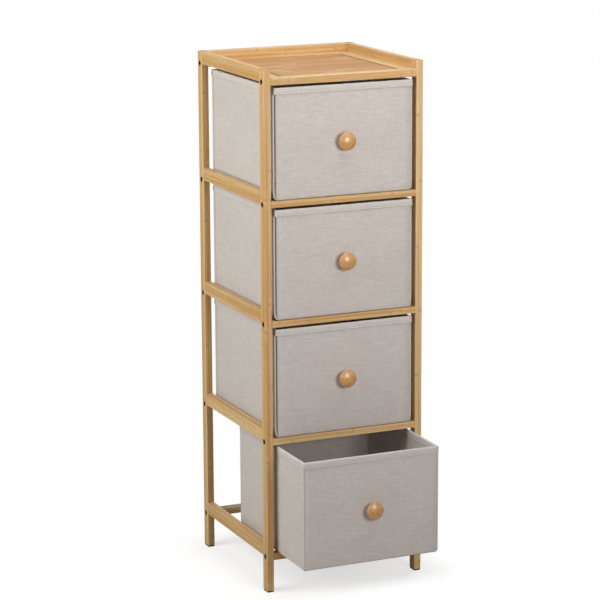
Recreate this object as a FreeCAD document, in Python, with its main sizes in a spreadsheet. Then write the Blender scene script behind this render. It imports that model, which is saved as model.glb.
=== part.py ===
import FreeCAD, Part
import math
import os
import re
import Sketcher

# Bamboo tower with an open tray on top and four sewn fabric drawers.
# The frame stands on the XY plane, drawers open towards -Y, sizes in millimetres.
# Levels count from the floor: level 1 carries drawer 1, and the tray is the top level.

document = FreeCAD.newDocument("drawer_tower")
sheet = document.addObject("Spreadsheet::Sheet", "Sizes")

# Driving dimensions
driving_sizes = (
    # Frame
    ("frame_width", 330),
    ("frame_depth", 330),
    ("frame_height", 1015),
    ("first_level", 70.5),
    ("tray_rise", 1),
    ("tray_recess", 16.5),
    # Posts
    ("post_width", 14),
    ("post_depth", 22),
    ("post_round", 1.5),
    # Front and back rails
    ("cross_rail_height", 12.5),
    ("tray_cross_rail_height", 14),
    ("rail_round", 1),
    # Side rails and their tenons
    ("side_rail_height", 24),
    ("tenon_thickness", 6),
    ("tenon_height", 16),
    ("tenon_length", 10),
    # Tray panel
    ("panel_thickness", 6),
    ("panel_lip", 1.5),
    ("tongue_thickness", 2.5),
    ("tongue_length", 4),
    # Bolts with barrel nuts
    ("bolt_diameter", 6),
    ("bolt_length", 44),
    ("bolt_head_diameter", 10.4),
    ("bolt_head_height", 3),
    ("bolt_head_chamfer", 0.5),
    ("bolt_head_recess", 0.3),
    ("socket_across_flats", 4),
    ("socket_depth", 2),
    ("bolt_clearance", 0.2),
    ("nut_diameter", 10),
    ("nut_length", 11),
    ("nut_setback", 26),
    ("nut_clearance", 0.1),
    # Locating dowels
    ("dowel_diameter", 5),
    ("dowel_length", 24),
    ("dowel_in_post", 8),
    ("dowel_spacing", 7),
    # Foot glides
    ("glide_thickness", 3),
    ("glide_inset", 0.8),
    ("glide_round", 0.8),
    ("glide_stem_diameter", 4),
    ("glide_stem_length", 10),
    # Drawer boxes
    ("drawer_side_gap", 9.5),
    ("drawer_depth_gap", 19),
    ("drawer_top_gap", 6.2),
    ("cover_corner_round", 4),
    ("cover_foot_round", 2),
    ("fabric_thickness", 0.8),
    ("board_thickness", 2.2),
    ("board_corner_gap", 5),
    ("welt_radius", 1.5),
    ("hem_height", 12),
    ("hem_thickness", 0.6),
    ("base_board_thickness", 3),
    ("base_board_clearance", 1),
    ("front_setback", 0.5),
    ("seat_clearance", 0.3),
    ("drawer_opening", 122),
    # Overrun of every cut that comes out at a face
    ("cut_overrun", 1),
    # Knobs with their screws
    ("knob_diameter", 35),
    ("knob_belly_reach", 15),
    ("knob_crown_height", 8),
    ("knob_rim_round", 4),
    ("knob_neck_diameter", 20),
    ("knob_neck_round", 8),
    ("screw_diameter", 3.5),
    ("screw_length", 20),
    ("screw_head_diameter", 7),
    ("screw_head_height", 2.6),
    ("screw_recess_width", 1),
    ("screw_recess_length", 4.4),
    ("screw_recess_depth", 1.4),
    ("washer_diameter", 14),
    ("washer_thickness", 1),
)

# Dimensions that follow from them: the levels share the height below the tray, and a drawer fills
# the space of one level between the posts
following_sizes = (
    (
        "level_pitch",
        "=(frame_height - tray_recess - tray_cross_rail_height / 2 - tray_rise - first_level) / 4",
    ),
    ("cover_width", "=frame_width - 2 * post_width - 2 * drawer_side_gap"),
    ("cover_depth", "=frame_depth - drawer_depth_gap"),
    ("cover_height", "=level_pitch - cross_rail_height - seat_clearance - drawer_top_gap"),
)

for row, (alias, amount) in enumerate(driving_sizes + following_sizes, start=1):
    sheet.set("A%d" % row, alias)
    sheet.set("B%d" % row, str(amount))
    sheet.setAlias("B%d" % row, alias)
document.recompute()
size = {alias: float(sheet.get(alias)) for alias, amount in driving_sizes + following_sizes}


def sized(words):
    """Expression text in which every size name points at the sheet."""
    return re.sub("[a-z_]+", lambda word: "Sizes." * (word.group() in size) + word.group(), words)


# Places that several pieces share, as expressions of the driving dimensions
post_middle_x = "(frame_width - post_width) / 2"
post_middle_y = "(frame_depth - post_depth) / 2"
between_posts_x = "(frame_width - 2 * post_width)"
between_posts_y = "(frame_depth - 2 * post_depth)"
tray_top = "(frame_height - tray_recess)"
tray_level = "(frame_height - tray_recess - tray_cross_rail_height / 2)"
wall_thickness = "(board_thickness + 2 * fabric_thickness)"
# The frame's middle stands behind the origin, which is the middle of the part's own footprint
knob_reach = "(knob_belly_reach + knob_crown_height)"
frame_middle_y = "(drawer_opening + %s - front_setback - hem_thickness) / 2" % knob_reach

level_count = 4


def level_height(level):
    """Height of the middle of the front and back rails at one level."""
    return "(first_level + %d * level_pitch)" % (level - 1)


def bind(feature, path, words):
    feature.setExpression(path, sized(words))


def new_body(name):
    body = document.addObject("PartDesign::Body", name)
    body.Label = name
    return body


def origin_plane(body, role):
    return [feature for feature in body.Origin.OriginFeatures if feature.Role == role][0]


def new_sketch(body, name, role, offset=("0", "0", "0")):
    """Sketch on one of the body's own planes, moved in the plane's own directions."""
    sketch = body.newObject("Sketcher::SketchObject", name)
    sketch.AttachmentSupport = [(origin_plane(body, role), "")]
    sketch.MapMode = "FlatFace"
    for letter, words in zip("xyz", offset):
        bind(sketch, "AttachmentOffset.Base." + letter, words)
    return sketch


def add_rectangle(sketch, width, height):
    """Rectangle round the sketch's origin, with width and height bound to the sheet."""
    corners = [FreeCAD.Vector(x, y, 0) for x, y in ((-1, -1), (1, -1), (1, 1), (-1, 1))]
    first = sketch.GeometryCount
    for index in range(4):
        sketch.addGeometry(Part.LineSegment(corners[index], corners[(index + 1) % 4]), False)
    for index in range(4):
        following = first + (index + 1) % 4
        sketch.addConstraint(Sketcher.Constraint("Coincident", first + index, 2, following, 1))
    for index in (0, 2):
        sketch.addConstraint(Sketcher.Constraint("Horizontal", first + index))
        sketch.addConstraint(Sketcher.Constraint("Vertical", first + index + 1))
    sketch.addConstraint(Sketcher.Constraint("Symmetric", first, 1, first + 2, 1, -1, 1))
    across = sketch.addConstraint(Sketcher.Constraint("DistanceX", first, 1, first, 2, 2))
    bind(sketch, "Constraints[%d]" % across, width)
    up = sketch.addConstraint(Sketcher.Constraint("DistanceY", first + 1, 1, first + 1, 2, 2))
    bind(sketch, "Constraints[%d]" % up, height)


def add_round_rectangle(sketch, width, height, radius):
    """Rectangle with round corners about the sketch's origin: four sides, then four corner arcs."""
    directions = ((1, 0), (0, 1), (-1, 0), (0, -1))
    turn_share = 0.05
    straight = 1 - turn_share
    quarter = math.pi / 2
    for x, y in directions:
        start = FreeCAD.Vector(y - x * straight, -x - y * straight, 0)
        end = FreeCAD.Vector(y + x * straight, -x + y * straight, 0)
        sketch.addGeometry(Part.LineSegment(start, end), False)
    for index, (x, y) in enumerate(directions):
        middle = FreeCAD.Vector((x + y) * straight, (y - x) * straight, 0)
        whole = Part.Circle(middle, FreeCAD.Vector(0, 0, 1), turn_share)
        sketch.addGeometry(Part.ArcOfCircle(whole, (index - 1) * quarter, index * quarter), False)
    for index in range(4):
        arc = 4 + index
        following = (index + 1) % 4
        sketch.addConstraint(Sketcher.Constraint("Tangent", index, 2, arc, 1))
        sketch.addConstraint(Sketcher.Constraint("Tangent", arc, 2, following, 1))
        sketch.addConstraint(Sketcher.Constraint("Vertical" if index % 2 else "Horizontal", index))
    for arc in (5, 6, 7):
        sketch.addConstraint(Sketcher.Constraint("Equal", 4, arc))
    sketch.addConstraint(Sketcher.Constraint("Symmetric", 4, 3, 6, 3, -1, 1))
    bend = sketch.addConstraint(Sketcher.Constraint("Radius", 4, turn_share))
    across = sketch.addConstraint(Sketcher.Constraint("DistanceX", 3, 1, 1, 1, 2))
    up = sketch.addConstraint(Sketcher.Constraint("DistanceY", 0, 1, 2, 1, 2))
    for number, words in ((across, width), (up, height), (bend, radius)):
        bind(sketch, "Constraints[%d]" % number, words)


def add_circle(sketch, diameter):
    """Circle round the sketch's origin."""
    middle = FreeCAD.Vector(0, 0, 0)
    index = sketch.addGeometry(Part.Circle(middle, FreeCAD.Vector(0, 0, 1), 1), False)
    sketch.addConstraint(Sketcher.Constraint("Coincident", index, 3, -1, 1))
    width = sketch.addConstraint(Sketcher.Constraint("Diameter", index, 2))
    bind(sketch, "Constraints[%d]" % width, diameter)


def rectangle(body, name, role, width, height, offset=("0", "0", "0")):
    sketch = new_sketch(body, name, role, offset)
    add_rectangle(sketch, width, height)
    return sketch


def circle(body, name, role, diameter, offset=("0", "0", "0")):
    sketch = new_sketch(body, name, role, offset)
    add_circle(sketch, diameter)
    return sketch


def pad(body, name, sketch, length, symmetric=False, backwards=False):
    feature = body.newObject("PartDesign::Pad", name)
    feature.Profile = sketch
    feature.SideType = "Symmetric" if symmetric else "One side"
    feature.Reversed = backwards
    bind(feature, "Length", length)
    document.recompute()
    return feature


def pocket(body, name, sketch, length, symmetric=False, backwards=False):
    """Cut that has to take material away, or the build stops."""
    before = body.Shape.Volume
    feature = body.newObject("PartDesign::Pocket", name)
    feature.Profile = sketch
    feature.SideType = "Symmetric" if symmetric else "One side"
    feature.Reversed = backwards
    bind(feature, "Length", length)
    document.recompute()
    if not body.Shape.Volume < before:
        raise RuntimeError("%s cuts nothing from %s" % (name, body.Label))
    return feature


def through(depth):
    """Depth of a cut with the overrun past the face that it comes out at."""
    return depth + " + cut_overrun"


def row_along_z(body, name, originals, spacing, count):
    """Linear pattern up the body's Z axis."""
    feature = body.newObject("PartDesign::LinearPattern", name)
    feature.Originals = originals
    axis = [line for line in body.Origin.OriginFeatures if line.Role == "Z_Axis"][0]
    feature.Direction = (axis, [""])
    feature.Mode = "Spacing"
    bind(feature, "Offset", spacing)
    feature.Occurrences = count
    body.Tip = feature
    document.recompute()
    return feature


def mirrored(body, name, originals, role):
    feature = body.newObject("PartDesign::Mirrored", name)
    feature.Originals = originals
    feature.MirrorPlane = (origin_plane(body, role), [""])
    body.Tip = feature
    document.recompute()
    return feature


def long_edges(body, direction, length):
    """Straight edges along one direction that are as long as the piece itself."""
    found = []
    for number, edge in enumerate(body.Shape.Edges, start=1):
        if edge.Curve.TypeId != "Part::GeomLine":
            continue
        if abs(edge.Curve.Direction.dot(direction)) > 1 - edge_tolerance_share:
            if edge.Length > length * (1 - edge_tolerance_share):
                found.append("Edge%d" % number)
    return found


# Share by which an edge may differ from the length or direction that is looked for
edge_tolerance_share = 0.001
axis_x = FreeCAD.Vector(1, 0, 0)
axis_y = FreeCAD.Vector(0, 1, 0)
axis_z = FreeCAD.Vector(0, 0, 1)


def rounded(body, name, edges, radius):
    base = body.Tip
    feature = body.newObject("PartDesign::Fillet", name)
    feature.Base = (base, edges)
    bind(feature, "Radius", radius)
    document.recompute()
    return feature


def place(body, x="0", y="0", z="0"):
    """Puts a piece by its place from the frame's middle, at floor height."""
    bind(body, "Placement.Base.x", x)
    bind(body, "Placement.Base.y", "%s + %s" % (frame_middle_y, y))
    bind(body, "Placement.Base.z", z)


nodes = []


def keep(piece):
    nodes.append(piece)
    return piece


# Posts: one left front post is worked out, and the other three are its mirror images
post_length = "(frame_height - glide_thickness)"
post = new_body("left_front_post")
post_section = rectangle(post, "post_section", "XY_Plane", "post_width", "post_depth")
pad(post, "post_blank", post_section, post_length)
post_edges = long_edges(post, axis_z, size["frame_height"] - size["glide_thickness"])
rounded(post, "post_rounds", post_edges, "post_round")


def cut_post_joints(name, height, tenon_middle):
    """Bolt hole with its counterbore, dowel hole and mortise at one level above the post's foot."""
    bolt = circle(
        post, name + "_bolt_section", "YZ_Plane", "bolt_diameter + 2 * bolt_clearance",
        ("0", height, "0"),
    )
    bolt_hole = pocket(post, name + "_bolt_hole", bolt, through("post_width"), symmetric=True)
    head = circle(
        post, name + "_head_section", "YZ_Plane", "bolt_head_diameter + 2 * bolt_clearance",
        ("0", height, "bolt_head_height + bolt_head_recess - post_width / 2"),
    )
    counterbore = pocket(post, name + "_counterbore", head, through("bolt_head_height + bolt_head_recess"))
    dowel = circle(
        post, name + "_dowel_section", "YZ_Plane", "dowel_diameter",
        ("dowel_spacing", height, "post_width / 2 - dowel_in_post"),
    )
    dowel_hole = pocket(post, name + "_dowel_hole", dowel, through("dowel_in_post"), backwards=True)
    tenon = rectangle(
        post, name + "_mortise_section", "XZ_Plane", "tenon_thickness", "tenon_height",
        ("0", tenon_middle, "tenon_length - post_depth / 2"),
    )
    mortise = pocket(post, name + "_mortise", tenon, through("tenon_length"))
    return [bolt_hole, counterbore, dowel_hole, mortise]


first_height = "(first_level - glide_thickness)"
first_cuts = cut_post_joints("level", first_height, first_height + " + side_rail_height / 2")
row_along_z(post, "level_joints", first_cuts, "level_pitch", level_count)
tray_height = tray_level + " - glide_thickness"
cut_post_joints("tray", tray_height, "frame_height - side_rail_height / 2 - glide_thickness")
stem = circle(post, "stem_section", "XY_Plane", "glide_stem_diameter")
pocket(post, "stem_hole", stem, "glide_stem_length", backwards=True)
place(post, "0 - " + post_middle_x, "0 - " + post_middle_y, "glide_thickness")
keep(post)


def mirror_image(name, source, normal):
    """Mirror image of a whole piece across the frame's middle."""
    image = document.addObject("Part::Mirroring", name)
    image.Label = name
    image.Source = source
    image.Normal = normal
    bind(image, "Base.y", frame_middle_y)
    document.recompute()
    return keep(image)


rear_post = mirror_image("left_rear_post", post, axis_y)
mirror_image("right_front_post", post, axis_x)
mirror_image("right_rear_post", rear_post, axis_x)


# Side rails: tenoned bars flush with the outer faces of the posts
def side_rail(name):
    rail = new_body(name)
    section = rectangle(rail, name + "_section", "XZ_Plane", "post_width", "side_rail_height")
    pad(rail, name + "_bar", section, between_posts_y, symmetric=True)
    bar_edges = long_edges(rail, axis_y, size["frame_depth"] - 2 * size["post_depth"])
    rounded(rail, name + "_rounds", bar_edges, "rail_round")
    tenon = rectangle(rail, name + "_tenon_section", "XZ_Plane", "tenon_thickness", "tenon_height")
    pad(rail, name + "_tenons", tenon, between_posts_y + " + 2 * tenon_length", symmetric=True)
    return rail


tongue_middle = "(frame_height - tray_recess - panel_lip - tongue_thickness / 2)"
for side_name, side in (("left", "0 - "), ("right", "")):
    for level in range(1, level_count + 1):
        rail = keep(side_rail("%s_rail_%d" % (side_name, level)))
        place(rail, side + post_middle_x, "0", level_height(level) + " + side_rail_height / 2")
rail = side_rail("left_tray_rail")
groove = rectangle(
    rail, "tray_groove_section", "XZ_Plane", "2 * tongue_length", "tongue_thickness",
    ("post_width / 2", tongue_middle + " + side_rail_height / 2 - frame_height", "0"),
)
pocket(rail, "tray_groove", groove, between_posts_y, symmetric=True)
place(rail, "0 - " + post_middle_x, "0", "frame_height - side_rail_height / 2")
keep(rail)
mirror_image("right_tray_rail", rail, axis_x)


# Front and back rails: flat bars bolted between the side frames
bolt_reach = "bolt_length + bolt_head_height + bolt_head_recess + bolt_clearance - post_width"


def cross_rail(name, height, bolt_drop="0"):
    """Bar with a bolt hole, a cross hole for the barrel nut and a dowel hole in each end."""
    rail = new_body(name)
    section = rectangle(rail, name + "_section", "YZ_Plane", "post_depth", height)
    pad(rail, name + "_bar", section, between_posts_x, symmetric=True)
    bar_edges = long_edges(rail, axis_x, size["frame_width"] - 2 * size["post_width"])
    rounded(rail, name + "_rounds", bar_edges, "rail_round")
    end = between_posts_x + " / 2"
    bolt = circle(
        rail, name + "_bolt_section", "YZ_Plane", "bolt_diameter + 2 * bolt_clearance",
        ("0", bolt_drop, bolt_reach + " - " + end),
    )
    bolt_hole = pocket(rail, name + "_bolt_hole", bolt, "bolt_length")
    dowel = circle(
        rail, name + "_dowel_section", "YZ_Plane", "dowel_diameter",
        ("dowel_spacing", bolt_drop, "dowel_length - dowel_in_post - " + end),
    )
    dowel_hole = pocket(rail, name + "_dowel_hole", dowel, "dowel_length")
    nut = circle(
        rail, name + "_nut_section", "XY_Plane", "nut_diameter + 2 * nut_clearance",
        ("nut_setback - " + end, "0", bolt_drop + " + nut_length / 2"),
    )
    nut_hole = pocket(rail, name + "_nut_hole", nut, "nut_length + " + height)
    mirrored(rail, name + "_other_end", [bolt_hole, dowel_hole, nut_hole], "YZ_Plane")
    return rail


def place_front(rail, height):
    place(rail, "0", "0 - " + post_middle_y, height)


def tongue_groove(rail, name, drop):
    """Groove for the panel's tongue along the face that looks to the middle of the tray."""
    groove = rectangle(
        rail, name, "YZ_Plane", "2 * tongue_length", "tongue_thickness", ("post_depth / 2", drop, "0"),
    )
    pocket(rail, name + "_cut", groove, between_posts_x, symmetric=True)


for level in range(1, level_count + 1):
    front = cross_rail("front_rail_%d" % level, "cross_rail_height")
    place_front(front, level_height(level))
    keep(front)
    mirror_image("back_rail_%d" % level, front, axis_y)

front = cross_rail("front_tray_rail", "tray_cross_rail_height")
tongue_groove(front, "front_groove", tongue_middle + " - " + tray_level)
place_front(front, tray_level)
keep(front)

# The back tray rail rises from under the panel to the top of the posts
back_height = "(tray_cross_rail_height + tray_recess)"
back_middle = "(frame_height - %s / 2)" % back_height
back = cross_rail("back_tray_bar", back_height, "(%s - %s)" % (tray_level, back_middle))
tongue_groove(back, "back_groove", tongue_middle + " - " + back_middle)
place_front(back, back_middle)
mirror_image("back_tray_rail", back, axis_y)

# Tray panel: a board with a thin tongue all round
panel = new_body("tray_panel")
board = rectangle(panel, "board_outline", "XY_Plane", between_posts_x, between_posts_y)
pad(panel, "board", board, "panel_thickness", backwards=True)
tongue_place = ("0", "0", "0 - panel_lip")
side_tongue = rectangle(
    panel, "side_tongue_outline", "XY_Plane",
    between_posts_x + " + 2 * tongue_length", between_posts_y, tongue_place,
)
pad(panel, "side_tongues", side_tongue, "tongue_thickness", backwards=True)
end_tongue = rectangle(
    panel, "end_tongue_outline", "XY_Plane",
    between_posts_x, between_posts_y + " + 2 * tongue_length", tongue_place,
)
pad(panel, "end_tongues", end_tongue, "tongue_thickness", backwards=True)
place(panel, "0", "0", tray_top)
keep(panel)


# Groups of like fasteners: one piece is worked out and set in every place that it has
def group(name, template, places):
    """One node of separate solids, each a copy of the template's shape."""
    solids = []
    for matrix in places:
        solid = template.Shape.copy()
        solid.Placement = matrix.multiply(solid.Placement)
        solids.append(solid)
    feature = document.addObject("Part::Feature", name)
    feature.Label = name
    feature.Shape = Part.makeCompound(solids)
    feature.Placement = FreeCAD.Placement()
    return keep(feature)


front_reach = size["drawer_opening"] + size["knob_belly_reach"] + size["knob_crown_height"]
middle_y = (front_reach - size["front_setback"] - size["hem_thickness"]) / 2
post_x = (size["frame_width"] - size["post_width"]) / 2
post_y = (size["frame_depth"] - size["post_depth"]) / 2
joint_heights = [size["first_level"] + index * size["level_pitch"] for index in range(level_count)]
joint_heights.append(size["frame_height"] - size["tray_recess"] - size["tray_cross_rail_height"] / 2)


def joint_places(from_outside, from_post_middle):
    """A place for every rail end, turned so that the template's +X points into the rail."""
    places = []
    for height in joint_heights:
        for end in (-1, 1):
            for face in (-1, 1):
                turn = FreeCAD.Rotation(axis_z, 0 if end < 0 else 180)
                x = end * (size["frame_width"] / 2 - from_outside)
                y = middle_y + face * (post_y - from_post_middle)
                places.append(FreeCAD.Placement(FreeCAD.Vector(x, y, height), turn))
    return places


bolt = new_body("bolt_template")
shank = circle(bolt, "shank_section", "YZ_Plane", "bolt_diameter")
pad(bolt, "shank", shank, "bolt_length")
head = circle(bolt, "head_section", "YZ_Plane", "bolt_head_diameter")
pad(bolt, "head", head, "bolt_head_height", backwards=True)
rim = [
    "Edge%d" % number
    for number, edge in enumerate(bolt.Shape.Edges, start=1)
    if edge.BoundBox.XLength < edge.BoundBox.YLength and edge.BoundBox.XMax < -size["bolt_head_height"] / 2
]
bolt_blank = bolt.Tip
chamfer = bolt.newObject("PartDesign::Chamfer", "head_chamfer")
chamfer.Base = (bolt_blank, rim)
bind(chamfer, "Size", "bolt_head_chamfer")
document.recompute()
socket = new_sketch(bolt, "socket_section", "YZ_Plane", ("0", "0", "0 - bolt_head_height"))
socket_sides = 6
corner_radius = size["socket_across_flats"] / 2 / math.cos(math.pi / socket_sides)
corners = [
    FreeCAD.Vector(corner_radius * math.cos(turn), corner_radius * math.sin(turn), 0)
    for turn in (2 * math.pi * index / socket_sides for index in range(socket_sides))
]
for index in range(socket_sides):
    socket.addGeometry(Part.LineSegment(corners[index], corners[(index + 1) % socket_sides]), False)
for index in range(socket_sides):
    socket.addConstraint(Sketcher.Constraint("Coincident", index, 2, (index + 1) % socket_sides, 1))
pocket(bolt, "socket", socket, "socket_depth", backwards=True)
group("rail_bolts", bolt, joint_places(size["bolt_head_height"] + size["bolt_head_recess"], 0))

nut = document.addObject("Part::Cylinder", "nut_cylinder")
bind(nut, "Radius", "nut_diameter / 2")
bind(nut, "Height", "nut_length")
bind(nut, "Placement.Base.z", "0 - nut_length / 2")
nut_bore = document.addObject("Part::Cylinder", "nut_bore")
bind(nut_bore, "Radius", "bolt_diameter / 2")
bind(nut_bore, "Height", "2 * nut_diameter")
bind(nut_bore, "Placement.Base.x", "0 - nut_diameter")
nut_bore.Placement.Rotation = FreeCAD.Rotation(axis_y, 90)
barrel_nut = document.addObject("Part::Cut", "barrel_nut_template")
barrel_nut.Base = nut
barrel_nut.Tool = nut_bore
document.recompute()
group("barrel_nuts", barrel_nut, joint_places(size["post_width"] + size["nut_setback"], 0))

dowel = document.addObject("Part::Cylinder", "dowel_template")
bind(dowel, "Radius", "dowel_diameter / 2")
bind(dowel, "Height", "dowel_length")
dowel.Placement.Rotation = FreeCAD.Rotation(axis_y, 90)
document.recompute()
dowel_places = joint_places(size["post_width"] - size["dowel_in_post"], size["dowel_spacing"])
group("locating_dowels", dowel, dowel_places)

glide = new_body("glide_template")
glide_outline = rectangle(
    glide, "glide_outline", "XY_Plane", "post_width - 2 * glide_inset", "post_depth - 2 * glide_inset",
)
pad(glide, "glide_plate", glide_outline, "glide_thickness")
rounded(glide, "glide_rounds", long_edges(glide, axis_z, size["glide_thickness"]), "glide_round")
stem_outline = circle(
    glide, "glide_stem_section", "XY_Plane", "glide_stem_diameter", ("0", "0", "glide_thickness"),
)
pad(glide, "glide_stem", stem_outline, "glide_stem_length")
glide_places = [
    FreeCAD.Placement(FreeCAD.Vector(side * post_x, middle_y + face * post_y, 0), FreeCAD.Rotation())
    for side in (-1, 1)
    for face in (-1, 1)
]
group("foot_glides", glide, glide_places)


# Drawers: a sewn cover with boards in its double walls, a bound rim, a loose base board and a turned knob.
# Each body is drawn with its origin in the middle of the floor, at the underside of the cover.
inner_width = "(cover_width - 2 * %s)" % wall_thickness
inner_depth = "(cover_depth - 2 * %s)" % wall_thickness
pocket_floor = "(cover_foot_round + fabric_thickness)"
board_height = "(cover_height - cover_foot_round - fabric_thickness)"
knob_height = "cover_height / 2"


def cover_body(name):
    """Fabric box: outer and inner layer with a slot for each wall board between them."""
    cover = new_body(name)
    outline = new_sketch(cover, name + "_outline", "XY_Plane")
    add_round_rectangle(outline, "cover_width", "cover_depth", "cover_corner_round")
    pad(cover, name + "_block", outline, "cover_height")
    foot = [
        "Edge%d" % number
        for number, edge in enumerate(cover.Shape.Edges, start=1)
        if edge.BoundBox.ZMax < size["cover_foot_round"] / 2
    ]
    rounded(cover, name + "_foot", foot, "cover_foot_round")
    welts = new_sketch(cover, name + "_welt_sections", "XY_Plane", ("0", "0", "cover_foot_round"))
    for x, y in ((-1, -1), (1, -1), (1, 1), (-1, 1)):
        spot = FreeCAD.Vector(x * size["cover_width"] / 2, y * size["cover_depth"] / 2, 0)
        index = welts.addGeometry(Part.Circle(spot, axis_z, size["welt_radius"]), False)
        radius = welts.addConstraint(Sketcher.Constraint("Radius", index, size["welt_radius"]))
        bind(welts, "Constraints[%d]" % radius, "welt_radius")
        inset = "cover_corner_round * (1 - cos(45))"
        for kind, sign, extent in (("DistanceX", x, "cover_width"), ("DistanceY", y, "cover_depth")):
            rule = Sketcher.Constraint(kind, -1, 1, index, 3, sign * size[extent] / 2)
            distance = welts.addConstraint(rule)
            bind(welts, "Constraints[%d]" % distance, "%d * (%s / 2 - %s)" % (sign, extent, inset))
    pad(cover, name + "_welts", welts, "cover_height - hem_height - cover_foot_round")
    inside = rectangle(
        cover, name + "_inside", "XY_Plane", inner_width, inner_depth, ("0", "0", "fabric_thickness"),
    )
    pocket(cover, name + "_hollow", inside, "cover_height", backwards=True)
    side_slot = rectangle(
        cover, name + "_side_slot_outline", "XY_Plane",
        "board_thickness", "cover_depth - 2 * board_corner_gap",
        ("(cover_width - %s) / 2" % wall_thickness, "0", pocket_floor),
    )
    side_cut = pocket(cover, name + "_side_slot", side_slot, "cover_height", backwards=True)
    mirrored(cover, name + "_other_side_slot", [side_cut], "YZ_Plane")
    end_slot = rectangle(
        cover, name + "_end_slot_outline", "XY_Plane",
        "cover_width - 2 * board_corner_gap", "board_thickness",
        ("0", "(cover_depth - %s) / 2" % wall_thickness, pocket_floor),
    )
    end_cut = pocket(cover, name + "_end_slot", end_slot, "cover_height", backwards=True)
    mirrored(cover, name + "_other_end_slot", [end_cut], "XZ_Plane")
    screw = circle(
        cover, name + "_screw_section", "XZ_Plane", "screw_diameter + 2 * bolt_clearance",
        ("0", knob_height, "cover_depth / 2 - 2 * " + wall_thickness),
    )
    pocket(cover, name + "_screw_hole", screw, through("2 * " + wall_thickness), backwards=True)
    return cover


def wall_boards(name):
    """Four stiffening boards, drawn as boxes, the front one bored for the knob's screw."""
    boards = []
    for side in (-1, 1):
        for kind in ("side", "end"):
            board = document.addObject("Part::Box", "%s_%s_%s" % (name, kind, "a" if side < 0 else "b"))
            width, depth = "board_thickness", "(cover_depth - 2 * board_corner_gap)"
            x, y = "%d * (cover_width - %s) / 2" % (side, wall_thickness), "0"
            if kind == "end":
                width, depth = "(cover_width - 2 * board_corner_gap)", "board_thickness"
                x, y = "0", "%d * (cover_depth - %s) / 2" % (side, wall_thickness)
            bind(board, "Length", width)
            bind(board, "Width", depth)
            bind(board, "Height", board_height)
            bind(board, "Placement.Base.x", "%s - %s / 2" % (x, width))
            bind(board, "Placement.Base.y", "%s - %s / 2" % (y, depth))
            bind(board, "Placement.Base.z", pocket_floor)
            boards.append(board)
    bore = document.addObject("Part::Cylinder", name + "_bore")
    bind(bore, "Radius", "screw_diameter / 2 + bolt_clearance")
    bind(bore, "Height", "2 * " + wall_thickness)
    bore.Placement.Rotation = FreeCAD.Rotation(axis_x, 90)
    bind(bore, "Placement.Base.y", "%s - cover_depth / 2" % wall_thickness)
    bind(bore, "Placement.Base.z", knob_height)
    bored = document.addObject("Part::Cut", name + "_front")
    bored.Base = boards[1]
    bored.Tool = bore
    together = document.addObject("Part::Compound", name)
    together.Label = name
    together.Links = [boards[0], bored, boards[2], boards[3]]
    document.recompute()
    return together


def hem_body(name):
    """Binding folded over the rim, its channel as wide as the wall."""
    hem = new_body(name)
    outline = new_sketch(hem, name + "_outline", "XY_Plane")
    add_round_rectangle(
        outline, "cover_width + 2 * hem_thickness", "cover_depth + 2 * hem_thickness",
        "cover_corner_round + hem_thickness",
    )
    add_rectangle(outline, inner_width + " - 2 * hem_thickness", inner_depth + " - 2 * hem_thickness")
    pad(hem, name + "_ring", outline, "hem_height")
    channel = new_sketch(hem, name + "_channel_outline", "XY_Plane")
    add_round_rectangle(channel, "cover_width", "cover_depth", "cover_corner_round")
    add_rectangle(channel, inner_width, inner_depth)
    pocket(hem, name + "_channel", channel, "hem_height - hem_thickness", backwards=True)
    return hem


def base_board(name):
    board = new_body(name)
    outline = rectangle(
        board, name + "_outline", "XY_Plane",
        inner_width + " - 2 * base_board_clearance", inner_depth + " - 2 * base_board_clearance",
    )
    pad(board, name + "_sheet", outline, "base_board_thickness")
    return board


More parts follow.
